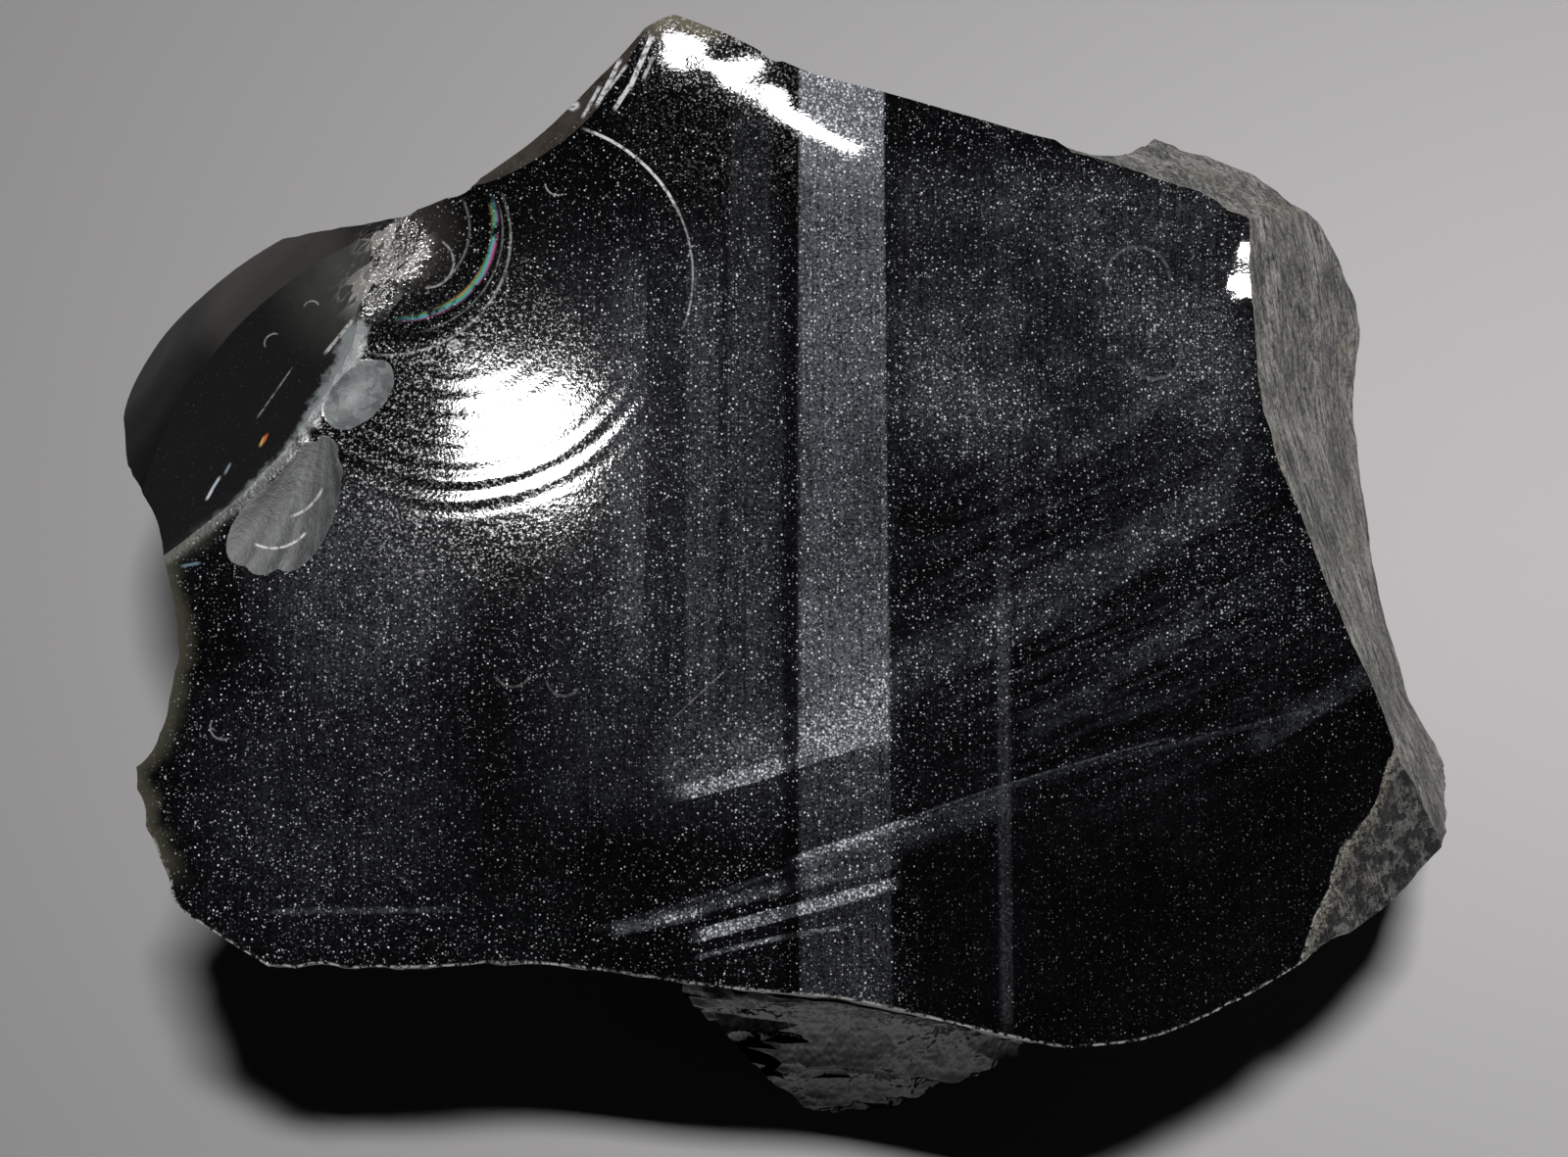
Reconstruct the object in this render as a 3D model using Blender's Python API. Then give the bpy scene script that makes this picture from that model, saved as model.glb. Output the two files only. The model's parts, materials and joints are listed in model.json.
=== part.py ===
"""Obsidian chunk: one solid lump of volcanic glass, struck from a larger block.

The lump is modelled the way it came about. It starts as a raw block, and fracture
surfaces are broken off it: the wide top face, the side walls, the two steep scars on the
left shoulder, and the smaller scoops and chips along its walls. Each fracture is a curved
sheet, and all that lies on the outer side of the sheet is cut away. A keel of rock that
stands proud of the front wall is joined on before the top is struck.

Frame: +Z up, the flat base on z = 0 and the origin under the middle of the chunk.
+X runs along its length and -Y is the side with the keel. All sizes below are in
millimetres, and MM turns them into metres where a mesh is made.
"""

from dataclasses import dataclass
import math

import bmesh
import bpy
import numpy as np
from mathutils import Quaternion, Vector

MM = 0.001

# ---- driving dimensions -------------------------------------------------------------

STEP = 3.0                  # spacing of the points of a fracture surface

TOP_HEIGHT = 42.0           # height of the top face over the origin
TOP_FALL_X = 7.0            # degrees that the top face drops towards +X
TOP_RISE_Y = 3.0            # degrees that it climbs towards +Y
CROWN = (-20.0, 7.6)        # middle of the broad crown of the top face
CROWN_RADIUS = 215.0
CROWN_TILT = (-1.74, 1.76)  # degrees that the crown leans from the plane, in X and Y
CROWN_LIMIT = 3.6           # degrees that its slope grows to
CROWN_RISE = 1.0            # how far its middle stands over the plane

BLOCK_RADIUS = 56.0         # the raw block, a short drum
BLOCK_HEIGHT = 62.0
BLOCK_FOOT = -6.0           # height of its underside
WALL_RISE = 9.0             # how far a wall's sheet reaches over the top face
WALL_DEPTH = 53.0           # and how far below it
FACET_HALF = 26.0           # half the side of a facet's sheet
BOWL_SPREAD = 1.6           # how far a bowl's sheet runs on past its rim
CUT_REACH = 62.0            # distance from the origin to the far side of a cut

ORIGIN_SHIFT = (-1.03, 0.02)   # brings the middle of the chunk's bounding box over the origin
PARTS = "obsidian_chunk_parts"

GLASS, CORTEX = 0, 1        # fresh glass, and the weathered skin of the flow


@dataclass
class Wall:
    """A side fracture, given by the line it draws on the top face."""
    name: str
    rim: tuple              # plan points, clockwise from above, run on past both corners
    lean: tuple             # degrees outward on the way down, evenly spaced along the rim
    waist: float = 90.0     # depth where the wall turns in
    tuck: float = 0.0       # its lean below the waist
    hollow: float = 0.0     # how far its middle is scooped in
    rock: int = GLASS


WALLS = (
    Wall("back", ((-30, 46), (-16, 41.8), (-6, 38.5), (1, 35.3), (12.5, 32.5), (20, 31.0),
                  (25, 33.5), (29, 40)), (-4, -11), hollow=2.2),
    Wall("back_right", ((8, 35.0), (17.6, 31.5), (25, 29.0), (33.4, 25.8), (42, 21), (50, 15)),
         (25, 31, 25), waist=14, tuck=-17, hollow=0.6, rock=CORTEX),
    Wall("right", ((24, 46), (32.4, 32), (33.4, 25.8), (33.5, 17.5), (34.5, 10.5), (37.7, 1.3),
                   (41.6, -7.5), (43.9, -13.5), (47, -23), (51, -36)),
         (22, 27, 31, 26, 19, 24, 27), waist=22, tuck=-20, hollow=0.8, rock=CORTEX),
    Wall("front_right", ((60, -11), (49.8, -19), (42.6, -25.6), (37.5, -28.4), (30, -32.5),
                         (24.8, -34.5), (18.4, -35.2), (5, -36)), (-6, -22), hollow=1.6),
    Wall("front", ((34, -37), (18.4, -35.0), (11.7, -33.6), (3.7, -31.8), (-6, -30.9),
                   (-17.8, -29.4), (-27, -29.7), (-37.4, -29.8), (-52, -31)), (-13, -24),
         hollow=2.5),
    Wall("front_corner", ((-28, -35), (-37.4, -29.9), (-43.6, -26.1), (-52, -20)), (-20, -20)),
    Wall("left_front", ((-38, -42), (-43.6, -26.1), (-45.8, -21), (-47.0, -16.4), (-49, -8)),
         (-17, -13), hollow=0.8),
    Wall("left", ((-49.5, -22), (-47.2, -16.8), (-45.4, -14.0), (-44.0, -7), (-45.2, -1),
                  (-50, 6), (-58, 12)), (-14, -10)),
    Wall("shoulder", ((-46.5, -10), (-45.3, -1.2), (-48.0, 5), (-49.6, 13.1), (-48.2, 17.3),
                      (-45.0, 20.3), (-41.0, 22.6), (-36.5, 24.6), (-31, 26.5), (-22, 33)),
         (4, 4), waist=11, tuck=-17),
    Wall("back_left", ((-47, 28.5), (-36, 25.2), (-29.8, 24.2), (-25.9, 25.4), (-21.1, 29.2),
                       (-15.5, 35.0), (-12.4, 38.0), (-5, 46)), (-8, -14), hollow=2.0),
    Wall("apex", ((-22, 35.5), (-12.7, 38.2), (-8.6, 39.7), (-5.8, 38.5), (6, 35.5)), (-5, -5)),
)


@dataclass
class Facet:
    """A sheet that is nearly flat, struck across an edge of the top face."""
    name: str
    centre: tuple
    facing: float           # compass direction of its downhill side, degrees from +X
    slope: float            # degrees
    hollow: float = 0.0     # how far its middle is scooped in
    rock: int = GLASS


FACETS = (
    Facet("shoulder_scar", (-36.9, 8.2, 46.9), 142.5, 22, hollow=0.5),
    Facet("shoulder_face", (-39.3, 14.3, 44.8), 141.0, 52, hollow=-0.8),
    Facet("edge_bevel", (-16.2, 32.0, 46.3), 130.0, 32, hollow=1.5),
    Facet("corner_skin", (40.7, -20.9, 35.9), -23.5, 32, rock=CORTEX),
)


@dataclass
class Scoop:
    """A bowl-shaped flake scar in a wall."""
    wall: str
    along: float            # place of its middle on the rim line, 0 to 1
    depth: float            # and below the rim
    half_width: float
    half_height: float
    bite: float             # how deep it goes
    turn: float = 0.0       # degrees that it is turned in the wall


SCOOPS = (
    Scoop("back", 0.36, 29, 13, 17, 3.0, 20),
    Scoop("back", 0.62, 34, 11, 13, 3.2, -24),
    Scoop("front_right", 0.42, 27, 11, 14, 2.4, 20),
    Scoop("front", 0.72, 28, 9.5, 15, 2.6, -16),
    Scoop("left_front", 0.50, 30, 9, 14, 2.2, 14),
    Scoop("left", 0.48, 27, 9, 15, 2.4, -16),
    Scoop("shoulder", 0.42, 33, 12, 11, 3.0, 10),
    Scoop("back_left", 0.52, 33, 11, 12, 2.6, -12),
    Scoop("right", 0.34, 38, 13, 9, 2.4, 6),
)


@dataclass
class Chip:
    """A shallow oval bite in the top face."""
    name: str
    centre: tuple
    half_long: float
    half_wide: float
    bite: float
    turn: float = 0.0       # degrees from +X to its long axis


CHIPS = (
    Chip("cone", (-26.6, 20.4), 5.5, 5.5, 0.30),
    Chip("crest_oval", (-31.5, 10.6), 3.1, 1.8, 0.45, 48),
    Chip("crest_fan", (-36.4, 2.3), 5.2, 2.7, 0.5, 76),
)

# The keel: corners of the rock that stands out of the front wall.
KEEL_TIP = ((3, -39.5, 4), (7, -39.2, 5), (0.6, -38.8, 6.5), (11.3, -37.5, 9.5))
KEEL_EDGES = ((-2, -37.4, 12.5), (-5.6, -34.3, 25), (-8.6, -31.4, 37), (16.4, -35.7, 24))
KEEL_TOP = ((-8.4, -30.6, 39.2), (8, -32.4, 37.8), (16.0, -34.6, 36.2))
KEEL_ROOT = ((-15, -19, -2), (-13, -21, 33), (23, -20, -2), (20, -25, 32), (-1, -33, -2),
             (9, -32, -2))
KEEL_FACING, KEEL_SLOPE = -93.0, 77.0
KEEL_SCARS = (              # middle, half width, half height and bite of each scar on it
    ((1.0, -34.2, 27), 8.0, 8.5, 1.3),
    ((3.5, -37.5, 13), 5.0, 6.0, 1.3),
    ((11.0, -35.4, 24), 5.0, 8.0, 0.9),
)


# ---- shape of the fractures ---------------------------------------------------------

def smooth_line(knots, values, at):
    """A smooth curve through (knot, value) pairs that doesn't swing past them."""
    knots, values = np.asarray(knots, float), np.asarray(values, float)
    rise = np.diff(values) / np.diff(knots)
    slope = np.concatenate((rise[:1], 0.5 * (rise[1:] + rise[:-1]), rise[-1:]))
    turning = np.concatenate(([False], rise[1:] * rise[:-1] <= 0, [False]))
    slope[turning] = 0.0
    at = np.clip(at, knots[0], knots[-1])
    piece = np.clip(np.searchsorted(knots, at) - 1, 0, len(knots) - 2)
    width = knots[piece + 1] - knots[piece]
    f = (at - knots[piece]) / width
    return ((2 * f**3 - 3 * f**2 + 1) * values[piece] + (3 * f**2 - 2 * f**3) * values[piece + 1]
            + (f**3 - 2 * f**2 + f) * width * slope[piece]
            + (f**3 - f**2) * width * slope[piece + 1])


def top_plane(x, y):
    """Height of the flat plane that the top face follows."""
    return (TOP_HEIGHT - math.tan(math.radians(TOP_FALL_X)) * x
            + math.tan(math.radians(TOP_RISE_Y)) * y)


def ease(start, end, value):
    """0 before start, 1 past end, and a soft step between."""
    t = np.clip((value - start) / (end - start), 0, 1)
    return t * t * (3 - 2 * t)


def crown(x, y):
    """The broad crown of the top face. It falls away on all sides, less and less sharply."""
    dx, dy = x - CROWN[0], y - CROWN[1]
    limit = math.radians(CROWN_LIMIT)
    fall = limit**2 * CROWN_RADIUS * np.log(np.cosh(np.hypot(dx, dy) / CROWN_RADIUS / limit))
    tilt = math.radians(CROWN_TILT[0]) * dx + math.radians(CROWN_TILT[1]) * dy
    return CROWN_RISE - tilt - fall


def lips(x, y):
    """The top face curls up along the back rim, and in a short lip at the right one."""
    inside = (x + 8.6) * 0.324 + (y - 39.7) * 0.946
    along = ease(-16, -9, x) * (1 - 0.7 * ease(4, 12, x))
    back = (along * 0.020 * np.clip(inside + 7.0, 0, 10) ** 2
            + 0.5 * ease(-8, 9, x) * ease(-6, -1, inside))
    right = 0.7 * ease(30.0, 35.5, x) * ease(16, 20, y) * (1 - ease(26, 30, y))
    return back + right


def top_height(x, y):
    """Height of the top face: its plane, its crown, and the lips at its rim."""
    return top_plane(x, y) + crown(x, y) + lips(x, y)


def wall_directions(wall):
    """The way the rim runs, the way the wall faces, and the rim in those two directions."""
    travel = (Vector(wall.rim[-1]) - Vector(wall.rim[0])).normalized()
    outward = Vector((-travel.y, travel.x))
    knots = [Vector(point).dot(travel) for point in wall.rim]
    values = [Vector(point).dot(outward) for point in wall.rim]
    return travel, outward, knots, values


def wall_points(wall, along, depth):
    """Points of a wall: along its rim from 0 to 1, and depth below the top face."""
    travel, outward, knots, values = wall_directions(wall)
    run = knots[0] + along * (knots[-1] - knots[0])
    rim = smooth_line(knots, values, run)
    x, y = travel.x * run + outward.x * rim, travel.y * run + outward.y * rim
    z = top_plane(x, y) - depth
    lean = np.radians(np.interp(along, np.linspace(0, 1, len(wall.lean)), wall.lean))
    over_waist = np.minimum(depth, wall.waist)
    below_waist = np.maximum(depth - wall.waist, 0)
    flare = np.tan(lean) * over_waist + math.tan(math.radians(wall.tuck)) * below_waist
    open_middle = np.clip(4 * along * (1 - along), 0, 1) * np.clip(depth / 22, 0, 1)
    flare = flare - wall.hollow * open_middle * np.cos((depth - 22) / 40)
    return np.stack((x + outward.x * flare, y + outward.y * flare, z), axis=-1)


# ---- cutters ------------------------------------------------------------------------

def grid_values(start, end, step=STEP):
    """Evenly spaced values from start to end, about a step apart."""
    return np.linspace(start, end, max(2, round(abs(end - start) / step) + 1))


def cut_beyond(name, points, outward, reach=CUT_REACH, rock=GLASS, group="scar_cutters"):
    """A closed cutter: the sheet of points, and all the space from there to its reach."""
    rows, columns = points.shape[:2]
    outward = Vector(outward).normalized()
    bm = bmesh.new()
    bmesh.ops.create_grid(bm, x_segments=columns - 1, y_segments=rows - 1, size=1)
    for vertex, point in zip(bm.verts, points.reshape(-1, 3)):
        vertex.co = Vector(point) * MM
    border = [edge for edge in bm.edges if edge.is_boundary]
    skirt = bmesh.ops.extrude_edge_only(bm, edges=border)["geom"]
    for vertex in (item for item in skirt if isinstance(item, bmesh.types.BMVert)):
        vertex.co += outward * (reach * MM - vertex.co.dot(outward))
    bmesh.ops.holes_fill(bm, edges=[edge for edge in bm.edges if edge.is_boundary], sides=0)
    bmesh.ops.recalc_face_normals(bm, faces=bm.faces)
    if bm.calc_volume(signed=True) < 0:
        bmesh.ops.reverse_faces(bm, faces=bm.faces)
    for face in bm.faces:
        face.material_index = rock
    return finish_object(name, bm, group)


def wall_cutter(wall):
    """The cutter that leaves a side wall."""
    _, outward, knots, _ = wall_directions(wall)
    along, depth = np.meshgrid(grid_values(0, 1, STEP / (knots[-1] - knots[0])),
                               grid_values(-WALL_RISE, WALL_DEPTH))
    points = wall_points(wall, along, depth)
    return cut_beyond("cut_" + wall.name, points, outward.to_3d(), rock=wall.rock,
                      group="wall_cutters")


def sheet_frame(facing, slope):
    """Across, downhill and outward directions of a sloping sheet."""
    heading, tilt = math.radians(facing), math.radians(slope)
    across = Vector((-math.sin(heading), math.cos(heading), 0))
    outward = Vector((math.cos(heading) * math.sin(tilt), math.sin(heading) * math.sin(tilt),
                      math.cos(tilt)))
    return across, outward.cross(across), outward


def facet_cutter(name, centre, facing, slope, hollow, rock):
    """The cutter that leaves a nearly flat facet."""
    across, downhill, outward = sheet_frame(facing, slope)
    u, v = np.meshgrid(grid_values(-FACET_HALF, FACET_HALF), grid_values(-FACET_HALF, FACET_HALF))
    w = -hollow + hollow * (u**2 + v**2) / 10**2
    points = (np.array(centre) + u[..., None] * np.array(across) + v[..., None] * np.array(downhill)
              + w[..., None] * np.array(outward))
    reach = Vector(centre).dot(outward) + 24
    return cut_beyond("cut_" + name, points, outward, reach, rock)


def bowl_cutter(name, centre, frame, half_width, half_height, bite, rock=GLASS):
    """The cutter that leaves a bowl with an oval rim."""
    across, upward, outward = frame
    step = min(0.8 * STEP, half_height / 3)
    u, v = np.meshgrid(grid_values(-BOWL_SPREAD * half_width, BOWL_SPREAD * half_width, step),
                       grid_values(-BOWL_SPREAD * half_height, BOWL_SPREAD * half_height, step))
    w = bite * ((u / half_width) ** 2 + (v / half_height) ** 2 - 1)
    points = (np.array(centre) + u[..., None] * np.array(across) + v[..., None] * np.array(upward)
              + w[..., None] * np.array(outward))
    reach = Vector(centre).dot(outward) + 4 * bite
    return cut_beyond("cut_" + name, points, outward, reach, rock)


def scoop_cutter(scoop, number):
    """The cutter of a flake scar, set square to the wall at its middle."""
    wall = next(wall for wall in WALLS if wall.name == scoop.wall)
    middle, beside, below = (Vector(wall_points(wall, np.array(scoop.along + du),
                                                np.array(scoop.depth + dv)))
                             for du, dv in ((0, 0), (0.02, 0), (0, 1)))
    across = (beside - middle).normalized()
    outward = across.cross(below - middle).normalized()
    upward = outward.cross(across)
    turn = math.radians(scoop.turn)
    turned = across * math.cos(turn) + upward * math.sin(turn)
    frame = (turned, outward.cross(turned), outward)
    return bowl_cutter(f"scoop_{number}_{scoop.wall}", middle, frame, scoop.half_width,
                       scoop.half_height, scoop.bite, wall.rock)


def chip_cutter(chip):
    """The cutter of a chip, set on the slope of the top face."""
    x, y = chip.centre
    slope_x, slope_y = ((top_height(x + dx, y + dy) - top_height(x - dx, y - dy)) / 6
                        for dx, dy in ((3, 0), (0, 3)))
    outward = Vector((-slope_x, -slope_y, 1)).normalized()
    across = Vector((0, 1, 0)).cross(outward).normalized()
    across.rotate(Quaternion(outward, math.radians(chip.turn)))
    frame = (across, outward.cross(across), outward)
    return bowl_cutter(chip.name, (x, y, top_height(x, y)), frame, chip.half_long,
                       chip.half_wide, chip.bite)


def top_cutter():
    """The cutter that leaves the top face."""
    half = BLOCK_RADIUS + 4
    x, y = np.meshgrid(grid_values(-half, half), grid_values(-half, half))
    return cut_beyond("cut_top", np.stack((x, y, top_height(x, y)), axis=-1), (0, 0, 1))


# ---- objects ------------------------------------------------------------------------

def clear_scene():
    for item in list(bpy.data.objects):
        bpy.data.objects.remove(item, do_unlink=True)


def collection(name):
    """The named collection, made on first use."""
    found = bpy.data.collections.get(name)
    if found is None:
        found = bpy.data.collections.new(name)
        bpy.context.scene.collection.children.link(found)
    return found


def rock_material(name, colour, roughness):
    """A Principled material of one colour, made on first use."""
    material = bpy.data.materials.get(name) or bpy.data.materials.new(name)
    material.use_nodes = True
    shader = material.node_tree.nodes["Principled BSDF"]
    shader.inputs["Base Color"].default_value = (*colour, 1)
    shader.inputs["Roughness"].default_value = roughness
    shader.inputs["Metallic"].default_value = 0.0
    return material


def finish_object(name, bm, group):
    """Turn a bmesh into an object with both rock materials. Cutters stay out of renders."""
    mesh = bpy.data.meshes.new(name)
    bm.to_mesh(mesh)
    bm.free()
    mesh.materials.append(rock_material("obsidian_glass", (0.006, 0.006, 0.007), 0.12))
    mesh.materials.append(rock_material("obsidian_cortex", (0.20, 0.20, 0.19), 0.85))
    made = bpy.data.objects.new(name, mesh)
    made.location = (ORIGIN_SHIFT[0] * MM, ORIGIN_SHIFT[1] * MM, 0)
    collection(group).objects.link(made)
    if group != PARTS:
        made.hide_render = True
        made.display_type = 'WIRE'
    return made


def boolean(target, group, operation):
    """Cut or join a whole collection, as a modifier that stays on the target."""
    modifier = target.modifiers.new(group, 'BOOLEAN')
    modifier.operation = operation
    modifier.solver = 'EXACT'
    modifier.operand_type = 'COLLECTION'
    modifier.collection = collection(group)


def raw_block():
    """The drum of rock that the chunk is struck from."""
    bm = bmesh.new()
    bmesh.ops.create_cone(bm, cap_ends=True, segments=24, radius1=BLOCK_RADIUS * MM,
                          radius2=BLOCK_RADIUS * MM, depth=BLOCK_HEIGHT * MM)
    middle = (BLOCK_FOOT + BLOCK_HEIGHT / 2) * MM
    bmesh.ops.translate(bm, verts=bm.verts, vec=(0, 0, middle))
    return finish_object("obsidian_chunk", bm, PARTS)


def floor_cutter():
    """The cutter that leaves the flat base: all the space below the floor."""
    half = BLOCK_RADIUS + 6
    x, y = np.meshgrid((-half, half), (-half, half))
    return cut_beyond("cut_floor", np.stack((x, y, 0 * x), axis=-1), (0, 0, -1))


def keel():
    """The rock that stands out of the front wall: the hull of its corners."""
    bm = bmesh.new()
    for corner in KEEL_TIP + KEEL_EDGES + KEEL_TOP + KEEL_ROOT:
        bm.verts.new(Vector(corner) * MM)
    bmesh.ops.convex_hull(bm, input=bm.verts)
    bmesh.ops.recalc_face_normals(bm, faces=bm.faces)
    return finish_object("keel", bm, "joined_rock")


def build():
    """Strike the chunk out of its block."""
    clear_scene()
    chunk = raw_block()
    for wall in WALLS:
        wall_cutter(wall)
    keel()
    for number, scoop in enumerate(SCOOPS, 1):
        scoop_cutter(scoop, number)
    keel_frame = sheet_frame(KEEL_FACING, KEEL_SLOPE)
    for number, (centre, half_width, half_height, bite) in enumerate(KEEL_SCARS, 1):
        bowl_cutter(f"keel_{number}", centre, keel_frame, half_width, half_height, bite)
    for facet in FACETS:
        facet_cutter(facet.name, facet.centre, facet.facing, facet.slope, facet.hollow,
                     facet.rock)
    for chip in CHIPS:
        chip_cutter(chip)
    top_cutter()
    floor_cutter()
    boolean(chunk, "wall_cutters", 'DIFFERENCE')
    boolean(chunk, "joined_rock", 'UNION')
    boolean(chunk, "scar_cutters", 'DIFFERENCE')


build()
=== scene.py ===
"""Looks of the obsidian chunk: its fine surface, the rock's materials, the floor and the lights.

The chunk is struck again from its raw block, with the same fractures as the CAD solid but on
a fine grid, so that each face carries its ripples, waves and grain. Sizes are in millimetres,
in the frame of the fractures. MM turns them into metres and ORIGIN_SHIFT brings the result
over the CAD solid.
"""

from dataclasses import dataclass
import json
import math
import random

import bmesh
import bpy
import numpy as np
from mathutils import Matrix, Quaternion, Vector, kdtree, noise
from mathutils.bvhtree import BVHTree

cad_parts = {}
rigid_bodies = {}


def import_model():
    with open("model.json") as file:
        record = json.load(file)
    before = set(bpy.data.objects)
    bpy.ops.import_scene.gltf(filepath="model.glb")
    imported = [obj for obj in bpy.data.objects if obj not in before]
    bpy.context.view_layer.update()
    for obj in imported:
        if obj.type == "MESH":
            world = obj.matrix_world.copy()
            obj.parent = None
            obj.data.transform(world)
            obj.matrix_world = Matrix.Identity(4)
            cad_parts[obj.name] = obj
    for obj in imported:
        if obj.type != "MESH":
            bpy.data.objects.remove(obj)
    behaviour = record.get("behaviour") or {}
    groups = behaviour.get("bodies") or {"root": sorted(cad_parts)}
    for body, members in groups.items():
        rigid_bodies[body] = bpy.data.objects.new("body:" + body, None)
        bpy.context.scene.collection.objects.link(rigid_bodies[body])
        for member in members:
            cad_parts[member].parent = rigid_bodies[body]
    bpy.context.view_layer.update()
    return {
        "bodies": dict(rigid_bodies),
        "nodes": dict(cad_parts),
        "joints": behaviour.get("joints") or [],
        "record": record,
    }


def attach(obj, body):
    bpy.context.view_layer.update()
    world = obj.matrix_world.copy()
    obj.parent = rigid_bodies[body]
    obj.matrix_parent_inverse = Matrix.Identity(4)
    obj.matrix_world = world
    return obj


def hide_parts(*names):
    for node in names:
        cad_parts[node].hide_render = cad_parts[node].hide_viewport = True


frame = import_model()

MM = 0.001
ORIGIN_SHIFT = (-1.03, 0.02)

# ---- size of the fractures -----------------------------------------------------------

TOP_STEP = 0.54             # spacing of the points on the top face
RIPPLE_STEP = 0.30          # and where it is rippled
WALL_STEP = 0.68
SCAR_STEP = 0.47

TOP_HEIGHT = 42.0           # height of the top face over the origin
TOP_FALL_X = 7.0            # degrees that the top face drops towards +X
TOP_RISE_Y = 3.0            # degrees that it climbs towards +Y

CROWN = (-20.0, 7.6)        # middle of the crown that the light glances off
CROWN_RADIUS = 215.0
CROWN_TILT = (-1.74, 1.76)  # degrees that the crown leans from the plane, in X and Y
CROWN_LIMIT = 3.6           # degrees that its slope grows to
CROWN_RISE = 1.0            # how far its middle stands over the plane

RIPPLE_CENTRE = (-24.8, 18.9)   # where the blow that freed the top face fell
RIPPLE_LENGTH = 1.45
RIPPLE_NEAR, RIPPLE_FAR = 6.0, 18.0

BLOCK_RADIUS = 56.0
BLOCK_HEIGHT = 62.0
BLOCK_FOOT = -6.0
WALL_RISE = 9.0             # how far the sheet of a wall stands over the top face
WALL_DEPTH = 53.0           # and how far it goes down
FACET_HALF = 26.0
BOWL_SPREAD = 1.35          # how far the sheet of a scar runs on past its rim
CUT_REACH = 62.0

KINDS = ("top", "wall", "cortex", "lobe_inner", "lobe_outer", "bevel", "cone", "oval", "fan",
         "keel", "base")


@dataclass
class Wall:
    """A side fracture, given by the line it draws on the top face."""
    name: str
    rim: tuple              # plan points, clockwise from above, run on past both corners
    lean: tuple             # degrees outward on the way down, evenly spaced along the rim
    waist: float = 90.0     # depth where the wall turns in
    tuck: float = 0.0       # its lean below the waist
    hollow: float = 0.0     # how far its middle is scooped in
    kind: str = "wall"
    ledge: float = 0.0      # how far a narrow ledge under its rim stands out


WALLS = (
    Wall("back", ((-30, 46), (-16, 41.8), (-6, 38.5), (1, 35.3), (12.5, 32.5), (20, 31.0),
                  (25, 33.5), (29, 40)), (-4, -11), hollow=2.2),
    Wall("back_right", ((8, 35.0), (17.6, 31.5), (25, 29.0), (33.4, 25.8), (42, 21), (50, 15)),
         (25, 31, 25), waist=14, tuck=-17, hollow=0.6, kind="cortex"),
    Wall("right", ((24, 46), (32.4, 32), (33.4, 25.8), (33.5, 17.5), (34.5, 10.5), (37.7, 1.3),
                   (41.6, -7.5), (43.9, -13.5), (47, -23), (51, -36)),
         (22, 27, 31, 26, 19, 24, 27), waist=22, tuck=-20, hollow=0.8, kind="cortex"),
    Wall("front_right", ((60, -11), (49.8, -19), (42.6, -25.6), (37.5, -28.4), (30, -32.5),
                         (24.8, -34.5), (18.4, -35.2), (5, -36)), (-6, -22), hollow=1.6),
    Wall("front", ((34, -37), (18.4, -35.0), (11.7, -33.6), (3.7, -31.8), (-6, -30.9),
                   (-17.8, -29.4), (-27, -29.7), (-37.4, -29.8), (-52, -31)), (-13, -24),
         hollow=2.5, ledge=0.7),
    Wall("front_corner", ((-28, -35), (-37.4, -29.9), (-43.6, -26.1), (-52, -20)), (-20, -20)),
    Wall("left_front", ((-38, -42), (-43.6, -26.1), (-45.8, -21), (-47.0, -16.4), (-49, -8)),
         (-17, -13), hollow=0.8),
    Wall("left", ((-49.5, -22), (-47.2, -16.8), (-45.4, -14.0), (-44.0, -7), (-45.2, -1),
                  (-50, 6), (-58, 12)), (-14, -10)),
    Wall("shoulder", ((-46.5, -10), (-45.3, -1.2), (-48.0, 5), (-49.6, 13.1), (-48.2, 17.3),
                      (-45.0, 20.3), (-41.0, 22.6), (-36.5, 24.6), (-31, 26.5), (-22, 33)),
         (4, 4), waist=11, tuck=-17),
    Wall("back_left", ((-47, 28.5), (-36, 25.2), (-29.8, 24.2), (-25.9, 25.4), (-21.1, 29.2),
                       (-15.5, 35.0), (-12.4, 38.0), (-5, 46)), (-8, -14), hollow=2.0),
    Wall("apex", ((-22, 35.5), (-12.7, 38.2), (-8.6, 39.7), (-5.8, 38.5), (6, 35.5)), (-5, -5)),
)


@dataclass
class Facet:
    """A sheet that is nearly flat, struck across an edge of the top face."""
    centre: tuple
    facing: float           # compass direction of its downhill side, degrees from +X
    slope: float            # degrees
    hollow: float
    kind: str


FACETS = (
    Facet((-36.9, 8.2, 46.9), 142.5, 22, 0.5, "lobe_inner"),
    Facet((-39.3, 14.3, 45.1), 141.0, 46, -0.8, "lobe_outer"),
    Facet((-16.2, 32.0, 46.3), 130.0, 32, 1.5, "bevel"),
    Facet((40.7, -20.9, 35.9), -23.5, 32, 0.0, "cortex"),
)


@dataclass
class Scoop:
    """A bowl-shaped flake scar in a wall."""
    wall: str
    along: float            # place of its middle on the rim line, 0 to 1
    depth: float            # and below the rim
    half_width: float
    half_height: float
    bite: float             # how deep it goes
    turn: float = 0.0       # degrees that it is turned in the wall


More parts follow.
